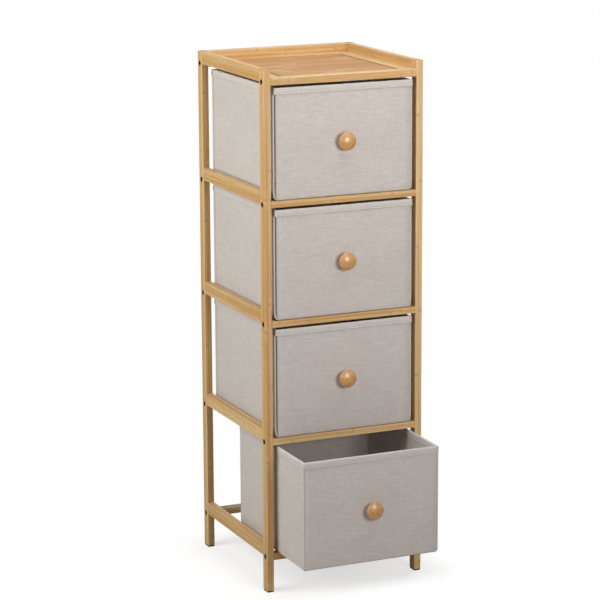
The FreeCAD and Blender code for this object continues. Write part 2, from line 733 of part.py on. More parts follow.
def knob_body(name):
    """Turned knob: a short neck flares in a cove to the rim of a low domed crown."""
    knob = new_body(name)
    profile = new_sketch(knob, name + "_profile", "XY_Plane")
    belly = size["knob_diameter"] / 2
    # Shares of the knob's radius that the outline starts from, before its constraints hold:
    # middle, radius and the two end angles of each arc, then the ends of each line
    arc_shares = (
        ((0, 0.33), 1.645, (-1.57, -0.995)),
        ((0.771, -0.857), 0.229, (-0.995, 1.186)),
        ((1.029, -0.222), 0.457, (3.14, 4.328)),
    )
    line_shares = (((0.571, -0.222), (0.571, 0)), ((0.571, 0), (0, 0)), ((0, 0), (0, -1.314)))
    for middle, radius, angles in arc_shares:
        whole = Part.Circle(FreeCAD.Vector(*middle, 0) * belly, axis_z, radius * belly)
        profile.addGeometry(Part.ArcOfCircle(whole, *angles), False)
    for start, end in line_shares:
        ends = [FreeCAD.Vector(*point, 0) * belly for point in (start, end)]
        profile.addGeometry(Part.LineSegment(*ends), False)
    crown, rim, neck, neck_line, seat_line, axis_line = range(6)
    for rule in (
        ("Coincident", seat_line, 2, -1, 1),
        ("Coincident", axis_line, 1, -1, 1),
        ("Coincident", neck_line, 2, seat_line, 1),
        ("Coincident", axis_line, 2, crown, 1),
        ("Horizontal", seat_line),
        ("Vertical", axis_line),
        ("Vertical", neck_line),
        ("PointOnObject", crown, 3, -2),
        ("Tangent", crown, 2, rim, 1),
        ("Tangent", rim, 2, neck, 2),
        ("Tangent", neck, 1, neck_line, 1),
    ):
        profile.addConstraint(Sketcher.Constraint(*rule))
    for words, share, rule in (
        ("knob_rim_round", 0.229, ("Radius", rim)),
        ("knob_neck_round", 0.457, ("Radius", neck)),
        ("knob_neck_diameter / 2", 0.571, ("DistanceX", seat_line, 2, seat_line, 1)),
        ("knob_diameter / 2 - knob_rim_round", 0.771, ("DistanceX", -1, 1, rim, 3)),
        ("knob_belly_reach", 0.857, ("DistanceY", rim, 3, -1, 1)),
        (knob_reach, 1.314, ("DistanceY", axis_line, 2, -1, 1)),
    ):
        number = profile.addConstraint(Sketcher.Constraint(*rule, share * belly))
        bind(profile, "Constraints[%d]" % number, words)
    turned = knob.newObject("PartDesign::Revolution", name + "_turned")
    turned.Profile = profile
    turned.ReferenceAxis = (profile, ["V_Axis"])
    turned.Angle = 360
    document.recompute()
    screw = circle(knob, name + "_screw_section", "XZ_Plane", "screw_diameter")
    screw_bite = "screw_length - washer_thickness - " + wall_thickness
    pocket(knob, name + "_screw_hole", screw, screw_bite, backwards=True)
    return knob


def knob_screw(name):
    """Pan head screw with a cross recess, pointing out of the drawer."""
    screw = new_body(name)
    shank = circle(screw, name + "_shank_section", "XZ_Plane", "screw_diameter")
    pad(screw, name + "_shank", shank, "screw_length")
    head = circle(screw, name + "_head_section", "XZ_Plane", "screw_head_diameter")
    pad(screw, name + "_head", head, "screw_head_height", backwards=True)
    long_side, short_side = "screw_recess_length", "screw_recess_width"
    for arm, (width, height) in (("level", (long_side, short_side)), ("upright", (short_side, long_side))):
        outline = rectangle(
            screw, "%s_%s_arm_outline" % (name, arm), "XZ_Plane", width, height,
            ("0", "0", "0 - screw_head_height"),
        )
        pocket(screw, "%s_%s_arm" % (name, arm), outline, "screw_recess_depth", backwards=True)
    return screw


def knob_washer(name):
    washer = new_body(name)
    disc = new_sketch(washer, name + "_section", "XZ_Plane")
    add_circle(disc, "washer_diameter")
    add_circle(disc, "screw_diameter + 2 * bolt_clearance")
    pad(washer, name + "_disc", disc, "washer_thickness")
    return washer


def make_drawer(level, opening):
    name = "drawer_%d_" % level
    middle = "(front_setback + hem_thickness + (cover_depth - frame_depth) / 2 - %s)" % opening
    floor = "(%s + cross_rail_height / 2 + seat_clearance)" % level_height(level)
    front = "(%s - cover_depth / 2)" % middle
    cover = keep(cover_body(name + "cover"))
    place(cover, "0", middle, floor)
    boards = keep(wall_boards(name + "wall_boards"))
    place(boards, "0", middle, floor)
    hem = keep(hem_body(name + "hem"))
    place(hem, "0", middle, "%s + cover_height + hem_thickness - hem_height" % floor)
    base = keep(base_board(name + "base_board"))
    place(base, "0", middle, floor + " + fabric_thickness")
    knob = keep(knob_body(name + "knob"))
    place(knob, "0", front, "%s + %s" % (floor, knob_height))
    inside = "%s + %s" % (front, wall_thickness)
    washer = keep(knob_washer(name + "knob_washer"))
    place(washer, "0", inside + " + washer_thickness", "%s + %s" % (floor, knob_height))
    screw = keep(knob_screw(name + "knob_screw"))
    place(screw, "0", inside + " + washer_thickness", "%s + %s" % (floor, knob_height))


make_drawer(1, "drawer_opening")
for drawer_level in range(2, level_count + 1):
    make_drawer(drawer_level, "0")

document.recompute()
for item in document.Objects:
    if "Invalid" in item.State or "Error" in item.State:
        raise RuntimeError("%s did not build: %s" % (item.Name, item.State))
os.makedirs("parts", exist_ok=True)
for node in nodes:
    if node.Shape.isNull() or not node.Shape.isValid():
        raise RuntimeError("%s has no valid shape" % node.Label)
for node in nodes:
    node.Shape.exportStep(os.path.join("parts", node.Label + ".step"))
print("%d nodes written" % len(nodes))
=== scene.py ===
import math

import bmesh
import bpy
from mathutils import Matrix, Vector, noise


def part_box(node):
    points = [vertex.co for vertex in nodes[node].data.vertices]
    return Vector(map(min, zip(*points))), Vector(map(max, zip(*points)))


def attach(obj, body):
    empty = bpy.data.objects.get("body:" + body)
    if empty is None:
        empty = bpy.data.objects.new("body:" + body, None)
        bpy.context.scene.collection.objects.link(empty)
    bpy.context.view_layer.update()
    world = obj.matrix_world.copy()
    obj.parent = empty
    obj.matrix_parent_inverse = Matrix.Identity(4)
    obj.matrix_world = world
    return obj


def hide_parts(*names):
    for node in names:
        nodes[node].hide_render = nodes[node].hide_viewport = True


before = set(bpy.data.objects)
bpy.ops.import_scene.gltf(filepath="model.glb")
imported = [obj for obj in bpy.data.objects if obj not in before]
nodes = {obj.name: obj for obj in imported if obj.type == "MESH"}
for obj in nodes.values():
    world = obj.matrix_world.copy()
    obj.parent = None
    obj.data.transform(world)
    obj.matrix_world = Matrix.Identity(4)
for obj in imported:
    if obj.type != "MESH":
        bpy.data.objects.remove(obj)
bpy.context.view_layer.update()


# Bamboo frame
# Posts, rails and the tray board are sawn from laminated bamboo: split culms planed to strips, glued
# side by side and in layers, then sanded and given a thin satin lacquer. The strips run the long way
# of each piece, so the same timber is used in three directions.
MM = 0.001
BAMBOO_PALE = "#F7D8A2"
BAMBOO_DEEP = "#D6A668"
BAMBOO_FIBRE = "#AF7A3E"
BAMBOO_KNUCKLE = "#96672F"
BAMBOO_GLOW = "#F3D6A6"
BAMBOO_END = "#CFA470"
KNUCKLE_SPACING = 255 * MM
KNUCKLE_CREST = 0.25 * MM
KNUCKLE_HALF = 5.1 * MM
KNUCKLE_WAVER = 3.57 * MM
WAVER_LENGTH = 5.26 * MM
HALO_REACH = 23 * MM
STREAK_WIDTH = 3.03 * MM
STREAK_LENGTH = 200 * MM
FIBRE_WIDTH = 0.667 * MM
FIBRE_LENGTH = 45.5 * MM
GLUE_REACH = 0.6 * MM
BUNDLE_SPACING = 1.1 * MM
TRAY_PALE = "#D39B5C"
TRAY_DEEP = "#BC8347"
TRAY_JOINT = "#5E3A1C"
TRAY_STRIP = 24 * MM
TRAY_LAYER = 20 * MM
TRAY_LEVEL = 980 * MM
TRAY_REPEAT = 10
BORDER_SIDE = 120 * MM
BORDER_BACK = 116 * MM
BORDER_STREAK = 4.17 * MM
BORDER_BLEND = 0.1 * MM
JOINT_CORE = 1.5 * MM
JOINT_EDGE = 3.2 * MM
PIECE_STEP = 17.0
STRIP_SEED = 3.7
# Settings of two nodes that come often; a colour Mix has its share and colours at inputs 0, 6 and 7
SMOOTH = {"interpolation_type": "SMOOTHSTEP"}
TINT = {"data_type": "RGBA", "result": 2}


def linear(code):
    """Linear colour of an sRGB hex value."""
    shares = [int(code[start:start + 2], 16) / 255 for start in (1, 3, 5)]
    light = [c / 12.92 if c <= 0.04045 else ((c + 0.055) / 1.055) ** 2.4 for c in shares]
    return (*light, 1)


def new_material(name):
    """Empty material with its tree and its surface shader."""
    made = bpy.data.materials.new(name)
    made.use_nodes = True
    return made, made.node_tree, made.node_tree.nodes["Principled BSDF"]


def feed(node, feeds):
    """Sets a node's inputs, named or in order, to values, or links them to other nodes' outputs."""
    for socket, value in feeds.items() if isinstance(feeds, dict) else enumerate(feeds):
        if isinstance(value, bpy.types.NodeSocket):
            node.id_data.links.new(value, node.inputs[socket])
        else:
            node.inputs[socket].default_value = value


def add(tree, kind, feeds=(), result=0, **settings):
    """Adds one node with its settings, feeds its inputs and gives one of its outputs."""
    made = tree.nodes.new("ShaderNode" + kind)
    for name, value in settings.items():
        setattr(made, name, value)
    feed(made, feeds)
    return made.outputs[result]


def strips_across(tree, split, axis, width, start, centre=None, repeat=None):
    """Number of the strip at a place across the grain, and the distance to its glue line."""
    if centre is None:
        # The same piece comes again at every level
        moved = add(tree, "Math", (split[axis], start), operation="SUBTRACT")
        levels = add(tree, "Math", (moved, repeat), operation="DIVIDE")
        piece = add(tree, "Math", (levels,), operation="FLOOR")
        inside = add(tree, "Math", (moved, repeat, 0.0), operation="WRAP")
    else:
        # Two pieces face each other across the middle of the tower
        moved = add(tree, "Math", (split[axis], centre), operation="SUBTRACT")
        piece = add(tree, "Math", (moved,), operation="SIGN")
        distance = add(tree, "Math", (moved,), operation="ABSOLUTE")
        inside = add(tree, "Math", (distance, start), operation="SUBTRACT")
    rows = add(tree, "Math", (inside, width), operation="DIVIDE")
    row = add(tree, "Math", (rows,), operation="FLOOR")
    number = add(tree, "Math", (piece, PIECE_STEP, row), operation="MULTIPLY_ADD")
    edge = add(tree, "Math", (rows, 0.5), operation="PINGPONG")
    return number, add(tree, "Math", (edge, width), operation="MULTIPLY")


def streaks(tree, place, grain, width, length, detail=3.0, roughness=0.5):
    """Noise drawn out along the grain into streaks of a width and a length."""
    scale = [1 / width] * 3
    scale[grain] = 1 / length
    drawn = add(tree, "Mapping", {"Vector": place, "Scale": scale})
    feeds = {"Vector": drawn, "Scale": 1.0, "Detail": detail, "Roughness": roughness}
    return add(tree, "TexNoise", feeds)


def knuckles(tree, place, along):
    """Soft brown band across the strip, wavy, and the paler stretch on both sides of it."""
    wave = add(tree, "TexNoise", {"Vector": place, "Scale": 1 / WAVER_LENGTH, "Detail": 2.0})
    wavy = add(tree, "Math", (wave, KNUCKLE_WAVER / KNUCKLE_SPACING, along), operation="MULTIPLY_ADD")
    cycle = add(tree, "Math", (wavy,), operation="FRACT")
    beside = add(tree, "Math", (cycle, 0.5), operation="SUBTRACT")
    distance = add(tree, "Math", (beside,), operation="ABSOLUTE")
    crest, half, reach = (size / KNUCKLE_SPACING for size in (KNUCKLE_CREST, KNUCKLE_HALF, HALO_REACH))
    band = add(tree, "MapRange", (distance, crest, half, 1.0, 0.0), **SMOOTH)
    halo = add(tree, "MapRange", (distance, half, reach, 1.0, 0.0), **SMOOTH)
    return band, halo


def sawn_end(tree, place, grain):
    """Share of a sawn end, and its colour: fibre bundles show there as brown dots."""
    normal = add(tree, "SeparateXYZ", (add(tree, "NewGeometry", result="Normal"),)).node.outputs
    facing = add(tree, "Math", (normal[grain],), operation="ABSOLUTE")
    dots = add(tree, "TexVoronoi", {"Vector": place, "Scale": 1 / BUNDLE_SPACING}, "Distance")
    bundle = add(tree, "MapRange", (dots, 0.18, 0.42, 0.5, 0.0), **SMOOTH)
    colour = add(tree, "Mix", {0: bundle, 6: linear(BAMBOO_END), 7: linear(BAMBOO_KNUCKLE)}, **TINT)
    return add(tree, "MapRange", (facing, 0.75, 0.92), **SMOOTH), colour


def laminated_bamboo(name, grain, side, depth, pale=BAMBOO_PALE, deep=BAMBOO_DEEP):
    """Bamboo strips along one axis, split across the other two: striped, banded and softly shining."""
    made, tree, shader = new_material(name)
    place = add(tree, "TexCoord", result="Object")
    split = add(tree, "SeparateXYZ", (place,)).node.outputs
    column, column_edge = strips_across(tree, split, **side)
    row, row_edge = strips_across(tree, split, **depth)

    # Each strip gets its own shade and its own places for the knuckles
    strip = add(tree, "CombineXYZ", (column, row, STRIP_SEED))
    chance = add(tree, "TexWhiteNoise", (strip,), noise_dimensions="3D").node.outputs
    own_shade = add(tree, "SeparateColor", (chance["Color"],), "Green")
    spacings = add(tree, "Math", (split[grain], KNUCKLE_SPACING), operation="DIVIDE")
    along = add(tree, "Math", (spacings, chance["Value"]), operation="ADD")
    band, halo = knuckles(tree, place, along)

    # Broad soft streaks carry the shade, and thin fibres lie over them
    broad = streaks(tree, place, grain, STREAK_WIDTH, STREAK_LENGTH)
    fibre = streaks(tree, place, grain, FIBRE_WIDTH, FIBRE_LENGTH, 2.0, 0.6)
    shade = add(tree, "Math", (broad, 2.6, -1.32), operation="MULTIPLY_ADD")
    shade = add(tree, "Math", (own_shade, 0.9, shade), operation="MULTIPLY_ADD", use_clamp=True)
    colour = add(tree, "Mix", {0: shade, 6: linear(pale), 7: linear(deep)}, **TINT)
    end, end_colour = sawn_end(tree, place, grain)
    layers = [
        (add(tree, "MapRange", (fibre, 0.52, 0.74, 0.0, 0.55), **SMOOTH), linear(BAMBOO_FIBRE)),
        (add(tree, "Math", (halo, 0.3), operation="MULTIPLY"), linear(BAMBOO_GLOW)),
        (add(tree, "Math", (band, 0.32), operation="MULTIPLY"), linear(BAMBOO_KNUCKLE)),
        (add(tree, "MapRange", (column_edge, 0.0, GLUE_REACH, 0.4, 0.0), **SMOOTH), linear(BAMBOO_KNUCKLE)),
        (add(tree, "MapRange", (row_edge, 0.0, GLUE_REACH, 0.4, 0.0), **SMOOTH), linear(BAMBOO_KNUCKLE)),
        (end, end_colour),
    ]
    for share, laid_over in layers:
        colour = add(tree, "Mix", {0: share, 6: colour, 7: laid_over}, **TINT)

    rough = add(tree, "Math", (fibre, 0.18, 0.36), operation="MULTIPLY_ADD")
    relief = add(tree, "Math", (band, -0.7, fibre), operation="MULTIPLY_ADD")
    feed(shader, {
        "Base Color": colour,
        "Roughness": add(tree, "Math", (end, 0.2, rough), operation="MULTIPLY_ADD"),
        "Specular IOR Level": 0.3,
        "Coat Weight": 0.04,
        "Coat Roughness": 0.32,
        "Normal": add(tree, "Bump", {"Strength": 0.3, "Distance": 0.1 * MM, "Height": relief}),
    })
    return made


def bordered_bamboo():
    """Tray board: a darker field of broad strips inside a pale border, whose joints show as dark lines."""
    # The board is one piece, so its strips begin again only far outside it
    across = {"axis": 1, "width": TRAY_STRIP, "start": -tower_y, "repeat": TRAY_REPEAT}
    layers = {"axis": 2, "width": TRAY_LAYER, "start": TRAY_LEVEL, "repeat": TRAY_REPEAT}
    made = laminated_bamboo("lacquered_bamboo_board", 0, across, layers, TRAY_PALE, TRAY_DEEP)
    tree = made.node_tree
    shader = tree.nodes["Principled BSDF"]
    field = shader.inputs["Base Color"].links[0].from_socket
    place = add(tree, "TexCoord", result="Object")
    split = add(tree, "SeparateXYZ", (place,)).node.outputs
    from_middle = add(tree, "Math", (split[0],), operation="ABSOLUTE")
    past_side = add(tree, "Math", (from_middle, BORDER_SIDE), operation="SUBTRACT")
    past_back = add(tree, "Math", (split[1], tower_y + BORDER_BACK), operation="SUBTRACT")
    borders = []
    for grain in (0, 1):
        streak = streaks(tree, place, grain, BORDER_STREAK, STREAK_LENGTH)
        share = add(tree, "MapRange", (streak, 0.35, 0.65), **SMOOTH)
        borders.append(add(tree, "Mix", {0: share, 6: linear(BAMBOO_PALE), 7: linear(BAMBOO_DEEP)}, **TINT))
    share = add(tree, "MapRange", (past_side, -BORDER_BLEND, BORDER_BLEND), **SMOOTH)
    border = add(tree, "Mix", {0: share, 6: borders[0], 7: borders[1]}, **TINT)
    outside = add(tree, "Math", (past_side, past_back), operation="MAXIMUM")
    share = add(tree, "MapRange", (outside, -BORDER_BLEND, BORDER_BLEND), **SMOOTH)
    colour = add(tree, "Mix", {0: share, 6: field, 7: border}, **TINT)
    distance = add(tree, "Math", (outside,), operation="ABSOLUTE")
    joint = add(tree, "MapRange", (distance, JOINT_CORE, JOINT_EDGE, 0.95, 0.0), **SMOOTH)
    feed(shader, {"Base Color": add(tree, "Mix", {0: joint, 6: colour, 7: linear(TRAY_JOINT)}, **TINT)})
    return made


def dress(name, material):
    """Puts one material on a node of the frame."""
    slots = nodes[name].data.materials
    slots.clear()
    slots.append(material)


post_low, post_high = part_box("right_rear_post")
rail_low, rail_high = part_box("right_rail_1")
front_low, front_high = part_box("front_rail_1")
tower_y = (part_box("right_front_post")[0].y + post_high.y) / 2
level_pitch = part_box("front_rail_2")[0].z - front_low.z
post_size = post_high - post_low
across_x = {"axis": 0, "width": post_size.x / 2, "start": post_low.x, "centre": 0.0}
across_y = {"axis": 1, "width": post_size.y / 3, "start": post_low.y - tower_y, "centre": tower_y}
front_layer = (front_high.z - front_low.z) / 2
side_layer = (rail_high.z - rail_low.z) / 3
up_front = {"axis": 2, "width": front_layer, "start": front_low.z, "repeat": level_pitch}
up_side = {"axis": 2, "width": side_layer, "start": rail_low.z, "repeat": level_pitch}
upright_bamboo = laminated_bamboo("lacquered_bamboo_upright", 2, across_x, across_y)
cross_bamboo = laminated_bamboo("lacquered_bamboo_across", 0, up_front, across_y)
deep_bamboo = laminated_bamboo("lacquered_bamboo_front_to_back", 1, up_side, across_x)
for name in nodes:
    if name.endswith("_post"):
        dress(name, upright_bamboo)
    elif name.startswith(("front_", "back_")):
        dress(name, cross_bamboo)
    elif name.startswith(("left_", "right_")):
        dress(name, deep_bamboo)
dress("tray_panel", bordered_bamboo())


# Hardware of the frame
# Steel bolts with a hexagon socket, coated black, screw into zinc-plated cross nuts inside the rails.
# Plain beech dowels beside them keep the rails from turning, and plastic glides stand under the posts.
COATING_GRIT = 1.11 * MM
SPANGLE = 2.38 * MM
FLECK_LENGTH = 8.33 * MM
FLECK_WIDTH = 0.714 * MM
MOULD_GRIT = 0.667 * MM


def black_oxide_steel():
    """Black-coated bolt steel: dark and half glossy, a little worn on its high spots."""
    made, tree, shader = new_material("black_coated_steel")
    place = add(tree, "TexCoord", result="Object")
    grit = add(tree, "TexNoise", {"Vector": place, "Scale": 1 / COATING_GRIT, "Detail": 4.0})
    worn = add(tree, "MapRange", (grit, 0.6, 0.8, 0.0, 0.5), **SMOOTH)
    feed(shader, {
        "Base Color": add(tree, "Mix", {0: worn, 6: linear("#1F1C19"), 7: linear("#5A5048")}, **TINT),
        "Roughness": add(tree, "MapRange", (grit, 0.3, 0.7, 0.3, 0.48), **SMOOTH),
        "Metallic": 0.85,
        "Normal": add(tree, "Bump", {"Strength": 0.2, "Distance": 0.05 * MM, "Height": grit}),
    })
    return made


def zinc_plate():
    """Bright zinc plating with a faint cloudy spangle."""
    made, tree, shader = new_material("zinc_plated_steel")
    place = add(tree, "TexCoord", result="Object")
    cloud = add(tree, "TexNoise", {"Vector": place, "Scale": 1 / SPANGLE, "Detail": 5.0})
    feed(shader, {
        "Base Color": add(tree, "Mix", {0: cloud, 6: linear("#A9ABAE"), 7: linear("#C9CBCC")}, **TINT),
        "Roughness": add(tree, "MapRange", (cloud, 0.3, 0.7, 0.24, 0.42), **SMOOTH),
        "Metallic": 1.0,
        "Normal": add(tree, "Bump", {"Strength": 0.15, "Distance": 0.03 * MM, "Height": cloud}),
    })
    return made


def bare_beech():
    """Unfinished beech dowel: pale, matt, with short dark flecks along its length."""
    made, tree, shader = new_material("bare_beech")
    fleck = streaks(tree, add(tree, "TexCoord", result="Object"), 0, FLECK_WIDTH, FLECK_LENGTH)
    share = add(tree, "MapRange", (fleck, 0.5, 0.72, 0.0, 0.6), **SMOOTH)
    feed(shader, {
        "Base Color": add(tree, "Mix", {0: share, 6: linear("#D9B78C"), 7: linear("#A87D52")}, **TINT),
        "Roughness": 0.75,
        "Normal": add(tree, "Bump", {"Strength": 0.3, "Distance": 0.08 * MM, "Height": fleck}),
    })
    return made


def moulded_polypropylene():
    """Black moulded glide with a fine grain and a little dust in its low spots."""
    made, tree, shader = new_material("black_moulded_polypropylene")
    place = add(tree, "TexCoord", result="Object")
    grit = add(tree, "TexNoise", {"Vector": place, "Scale": 1 / MOULD_GRIT, "Detail": 2.0})
    share = add(tree, "MapRange", (grit, 0.35, 0.65, 0.0, 0.35), **SMOOTH)
    feed(shader, {
        "Base Color": add(tree, "Mix", {0: share, 6: linear("#191919"), 7: linear("#343230")}, **TINT),
        "Roughness": add(tree, "MapRange", (grit, 0.3, 0.7, 0.48, 0.66), **SMOOTH),
        "Normal": add(tree, "Bump", {"Strength": 0.4, "Distance": 0.06 * MM, "Height": grit}),
    })
    return made


bright_zinc = zinc_plate()
dress("rail_bolts", black_oxide_steel())
dress("barrel_nuts", bright_zinc)
dress("locating_dowels", bare_beech())
dress("foot_glides", moulded_polypropylene())


# Stiffening boards
# A plain board of brown pressed fibre stands in the pocket of each drawer wall and keeps it flat. It is
# hidden between the two layers of cloth.
FELT_GRAIN = 1.43 * MM
FELT_CLOUD = 22.2 * MM


def raw_fibreboard():
    """Brown pressed board of the stiffeners: short pressed fibres over a felted ground."""
    made, tree, shader = new_material("raw_fibreboard")
    place = add(tree, "TexCoord", result="Object")
    felt = add(tree, "TexNoise", {"Vector": place, "Scale": 1 / FELT_GRAIN, "Detail": 6.0})
    cloud = add(tree, "TexNoise", {"Vector": place, "Scale": 1 / FELT_CLOUD, "Detail": 3.0})
    share = add(tree, "MapRange", (cloud, 0.3, 0.7, 0.0, 0.35), **SMOOTH)
    colour = add(tree, "Mix", {0: felt, 6: linear("#7A5C40"), 7: linear("#A98A68")}, **TINT)
    feed(shader, {
        "Base Color": add(tree, "Mix", {0: share, 6: colour, 7: linear("#6B4F36")}, **TINT),
        "Roughness": 0.8,
        "Normal": add(tree, "Bump", {"Strength": 0.3, "Distance": 0.1 * MM, "Height": felt}),
    })
    return made


fibreboard = raw_fibreboard()
for number in range(1, 5):
    dress("drawer_%d_wall_boards" % number, fibreboard)


# Sewn boxes of the drawers
# Each box is a bag of linen-look polyester in two layers, with stiffening boards in the pockets between
# them. At the corners the cloth is pinched into a narrow welt that stands out sideways, with a crease
# beside it. Between the seams the walls stand a little proud, and they draw in under the binding.
CLOTH_LIGHT = "#D3CAC5"
CLOTH_DARK = "#BCB2AB"
# Creases, the stitch row and the cloth under the binding get painted shade; welts, inner seams and the
# binding's lower edge get painted highlight
PAINTED_FOLD_SHADE = "#54443A"
PAINTED_EDGE_HIGHLIGHT = "#EEE6DF"
YARN_PITCH = 0.9 * MM
YARN_STEP = 3.17
SLUB_UP = 15 * MM
SLUB_ALONG = 21 * MM
UPRIGHT_SEED = 0.0
LEVEL_SEED = 7.3
DYE_CLOUD = 62.5 * MM
NEAR = 0.01 * MM
WALL = 3.8 * MM
CLOTH_LAYER = 0.8 * MM
SEAM_ROUND = 3.0 * MM
WELT_WIDTH = 3.1 * MM
WELT_REACH = 3.5 * MM
WELT_SETBACK = 4.0 * MM
WELT_SLOPE = 0.16
CREASE_SLOPE = 0.4
BACK_SLOPE = 0.1
WELT_PAINTED_HIGHLIGHT = -0.45
CREASE_MIDDLE = 4.0 * MM
CREASE_END = 5.2 * MM
CREASE_DEPTHS = (0.5 * MM, 5.0 * MM)
# Shares of painted shade in the crease, on the side wall and on the front
CREASE_SHADES = (0.3, 1.0)
INNER_SEAM_PAINTED_HIGHLIGHT = -0.7
OPEN_DRAWER = 1
OPEN_SEAM_SHARE = 0.35
FOOT_ROUND = 4.5 * MM
FOOT_STEPS = (0.10, 0.32, 0.62, 1.0)
BINDING_HEIGHT = 11 * MM
BINDING_SHADE = 0.3
TUCK = 1.8 * MM
PROUD = 0.9 * MM
BULGE_LENGTH = 91 * MM
BULGE_HEIGHT = 77 * MM
BULGE_MEAN = 0.65
BULGE_SWING = 0.3
BULGE_RIPPLE = 0.2
RIPPLE_SCALE = 3.1
DRAWER_SEED = 7.1
FACE_SEED = 5.7
WALL_GRID = 11 * MM
# Where the pinch of the seams and the bulge of the walls begin, and over what length they grow
SEAM_FROM_FOOT = (0, 8 * MM)
SEAM_FROM_RIM = (4 * MM, 8 * MM)
PROUD_FROM_SEAM = (6 * MM, 48 * MM)
PROUD_FROM_FOOT = (3 * MM, 36 * MM)
PROUD_FROM_RIM = (BINDING_HEIGHT, 42 * MM)


def slub_cloth(name, light, dark):
    """Slub weave drawn about twice as coarse as the real half-millimetre yarns, so that it shows."""
    made, tree, shader = new_material(name)
    flat = add(tree, "SeparateXYZ", (add(tree, "UVMap", uv_map="cloth"),)).node.outputs
    cells, slubs, ribs = [], [], []
    for across, along, length, seed in ((0, 1, SLUB_UP, UPRIGHT_SEED), (1, 0, SLUB_ALONG, LEVEL_SEED)):
        # One yarn: its number picks its shade, and slow noise along it makes thick and thin places
        yarns = add(tree, "Math", (flat[across], YARN_PITCH), operation="DIVIDE")
        cell = add(tree, "Math", (yarns,), operation="FLOOR")
        chance = add(tree, "Math", (cell, YARN_STEP), operation="MULTIPLY")
        way = add(tree, "Math", (flat[along], length), operation="DIVIDE")
        run = add(tree, "CombineXYZ", (chance, way, seed))
        slub = add(tree, "TexNoise", {"Vector": run, "Scale": 1.0, "Detail": 2.0})
        part = add(tree, "Math", (yarns,), operation="FRACT")
        turn = add(tree, "Math", (part, math.pi), operation="MULTIPLY")
        crown = add(tree, "Math", (turn,), operation="SINE")
        thickness = add(tree, "Math", (slub, 0.5), operation="ADD")
        cells.append(cell)
        slubs.append(slub)
        ribs.append(add(tree, "Math", (crown, thickness), operation="MULTIPLY"))
    # Over and under: the two sets of yarns change places like a chessboard
    cell = add(tree, "Math", cells, operation="ADD")
    over = add(tree, "Math", (cell, 1.0), operation="PINGPONG")
    height = add(tree, "Mix", {0: over, 2: ribs[0], 3: ribs[1]}, data_type="FLOAT")
    tone = add(tree, "Math", (slubs[0], 0.42), operation="MULTIPLY")
    tone = add(tree, "Math", (slubs[1], 0.58, tone), operation="MULTIPLY_ADD")
    tone = add(tree, "MapRange", (tone, 0.34, 0.66, 0.0, 0.75), **SMOOTH)
    # Raised yarn crowns are painted a little lighter: painted highlight over the weave's relief
    tone = add(tree, "Math", (height, 0.22, tone), operation="MULTIPLY_ADD", use_clamp=True)
    colour = add(tree, "Mix", {0: tone, 6: linear(dark), 7: linear(light)}, **TINT)
    # The dye clouds softly; closed folds get painted shade, and welts, seams and edges that catch light get
    # painted highlight
    place = add(tree, "TexCoord", result="Object")
    cloud = add(tree, "TexNoise", {"Vector": place, "Scale": 1 / DYE_CLOUD, "Detail": 2.0})
    fold = add(tree, "Attribute", result="Fac", attribute_name="painted_shade_and_highlight")
    for value, low, high, to_low, to_high, laid_over in (
        (cloud, 0.35, 0.65, 0.0, 0.12, dark),
        (fold, 0.0, 0.8, 0.0, 0.95, PAINTED_FOLD_SHADE),
        (fold, -1.0, 0.0, 0.8, 0.0, PAINTED_EDGE_HIGHLIGHT),
    ):
        share = add(tree, "MapRange", (value, low, high, to_low, to_high), **SMOOTH)
        colour = add(tree, "Mix", {0: share, 6: colour, 7: linear(laid_over)}, **TINT)
    feed(shader, {
        "Base Color": colour,
        "Roughness": 0.9,
        "Sheen Weight": 0.2,
        "Sheen Roughness": 0.5,
        "Specular IOR Level": 0.25,
        "Normal": add(tree, "Bump", {"Strength": 0.35, "Distance": 0.3 * MM, "Height": height}),
    })
    return made


def drawer_piece(shape, name, material, number):
    """Object of a finished bmesh that moves with its drawer."""
    mesh = bpy.data.meshes.new(name)
    shape.to_mesh(mesh)
    shape.free()
    mesh.shade_smooth()
    mesh.materials.append(material)
    piece = bpy.data.objects.new(name, mesh)
    bpy.context.scene.collection.objects.link(piece)
    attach(piece, "drawer_%d" % number)
    return piece


def lay_cloth(shape):
    """UV map in metres, so that the yarns run straight up and along each wall."""
    shape.normal_update()
    layer = shape.loops.layers.uv.new("cloth")
    for face in shape.faces:
        lean = [abs(part) for part in face.normal]
        across, up = ((1, 2), (0, 2), (0, 1))[lean.index(max(lean))]
        for loop in face.loops:
            loop[layer].uv = (loop.vert.co[across], loop.vert.co[up])


def cut_across(shape, axis, places):
    """Cuts edge loops through the whole shape at several places along one axis."""
    normal = Vector([float(index == axis) for index in range(3)])
    for place in places:
        geometry = shape.verts[:] + shape.edges[:] + shape.faces[:]
        bmesh.ops.bisect_plane(shape, geom=geometry, dist=1e-6, plane_co=normal * place, plane_no=normal)


def spaced(first, last, pitch):
    """Evenly spaced places between two ends, without the ends."""
    count = max(2, round((last - first) / pitch))
    return [first + (last - first) * step / count for step in range(1, count)]


def faded(distance, start, length):
    """Share that rises smoothly from 0 at one distance to 1 a length further on."""
    share = min(1, max(0, (distance - start) / length))
    return share * share * (3 - 2 * share)


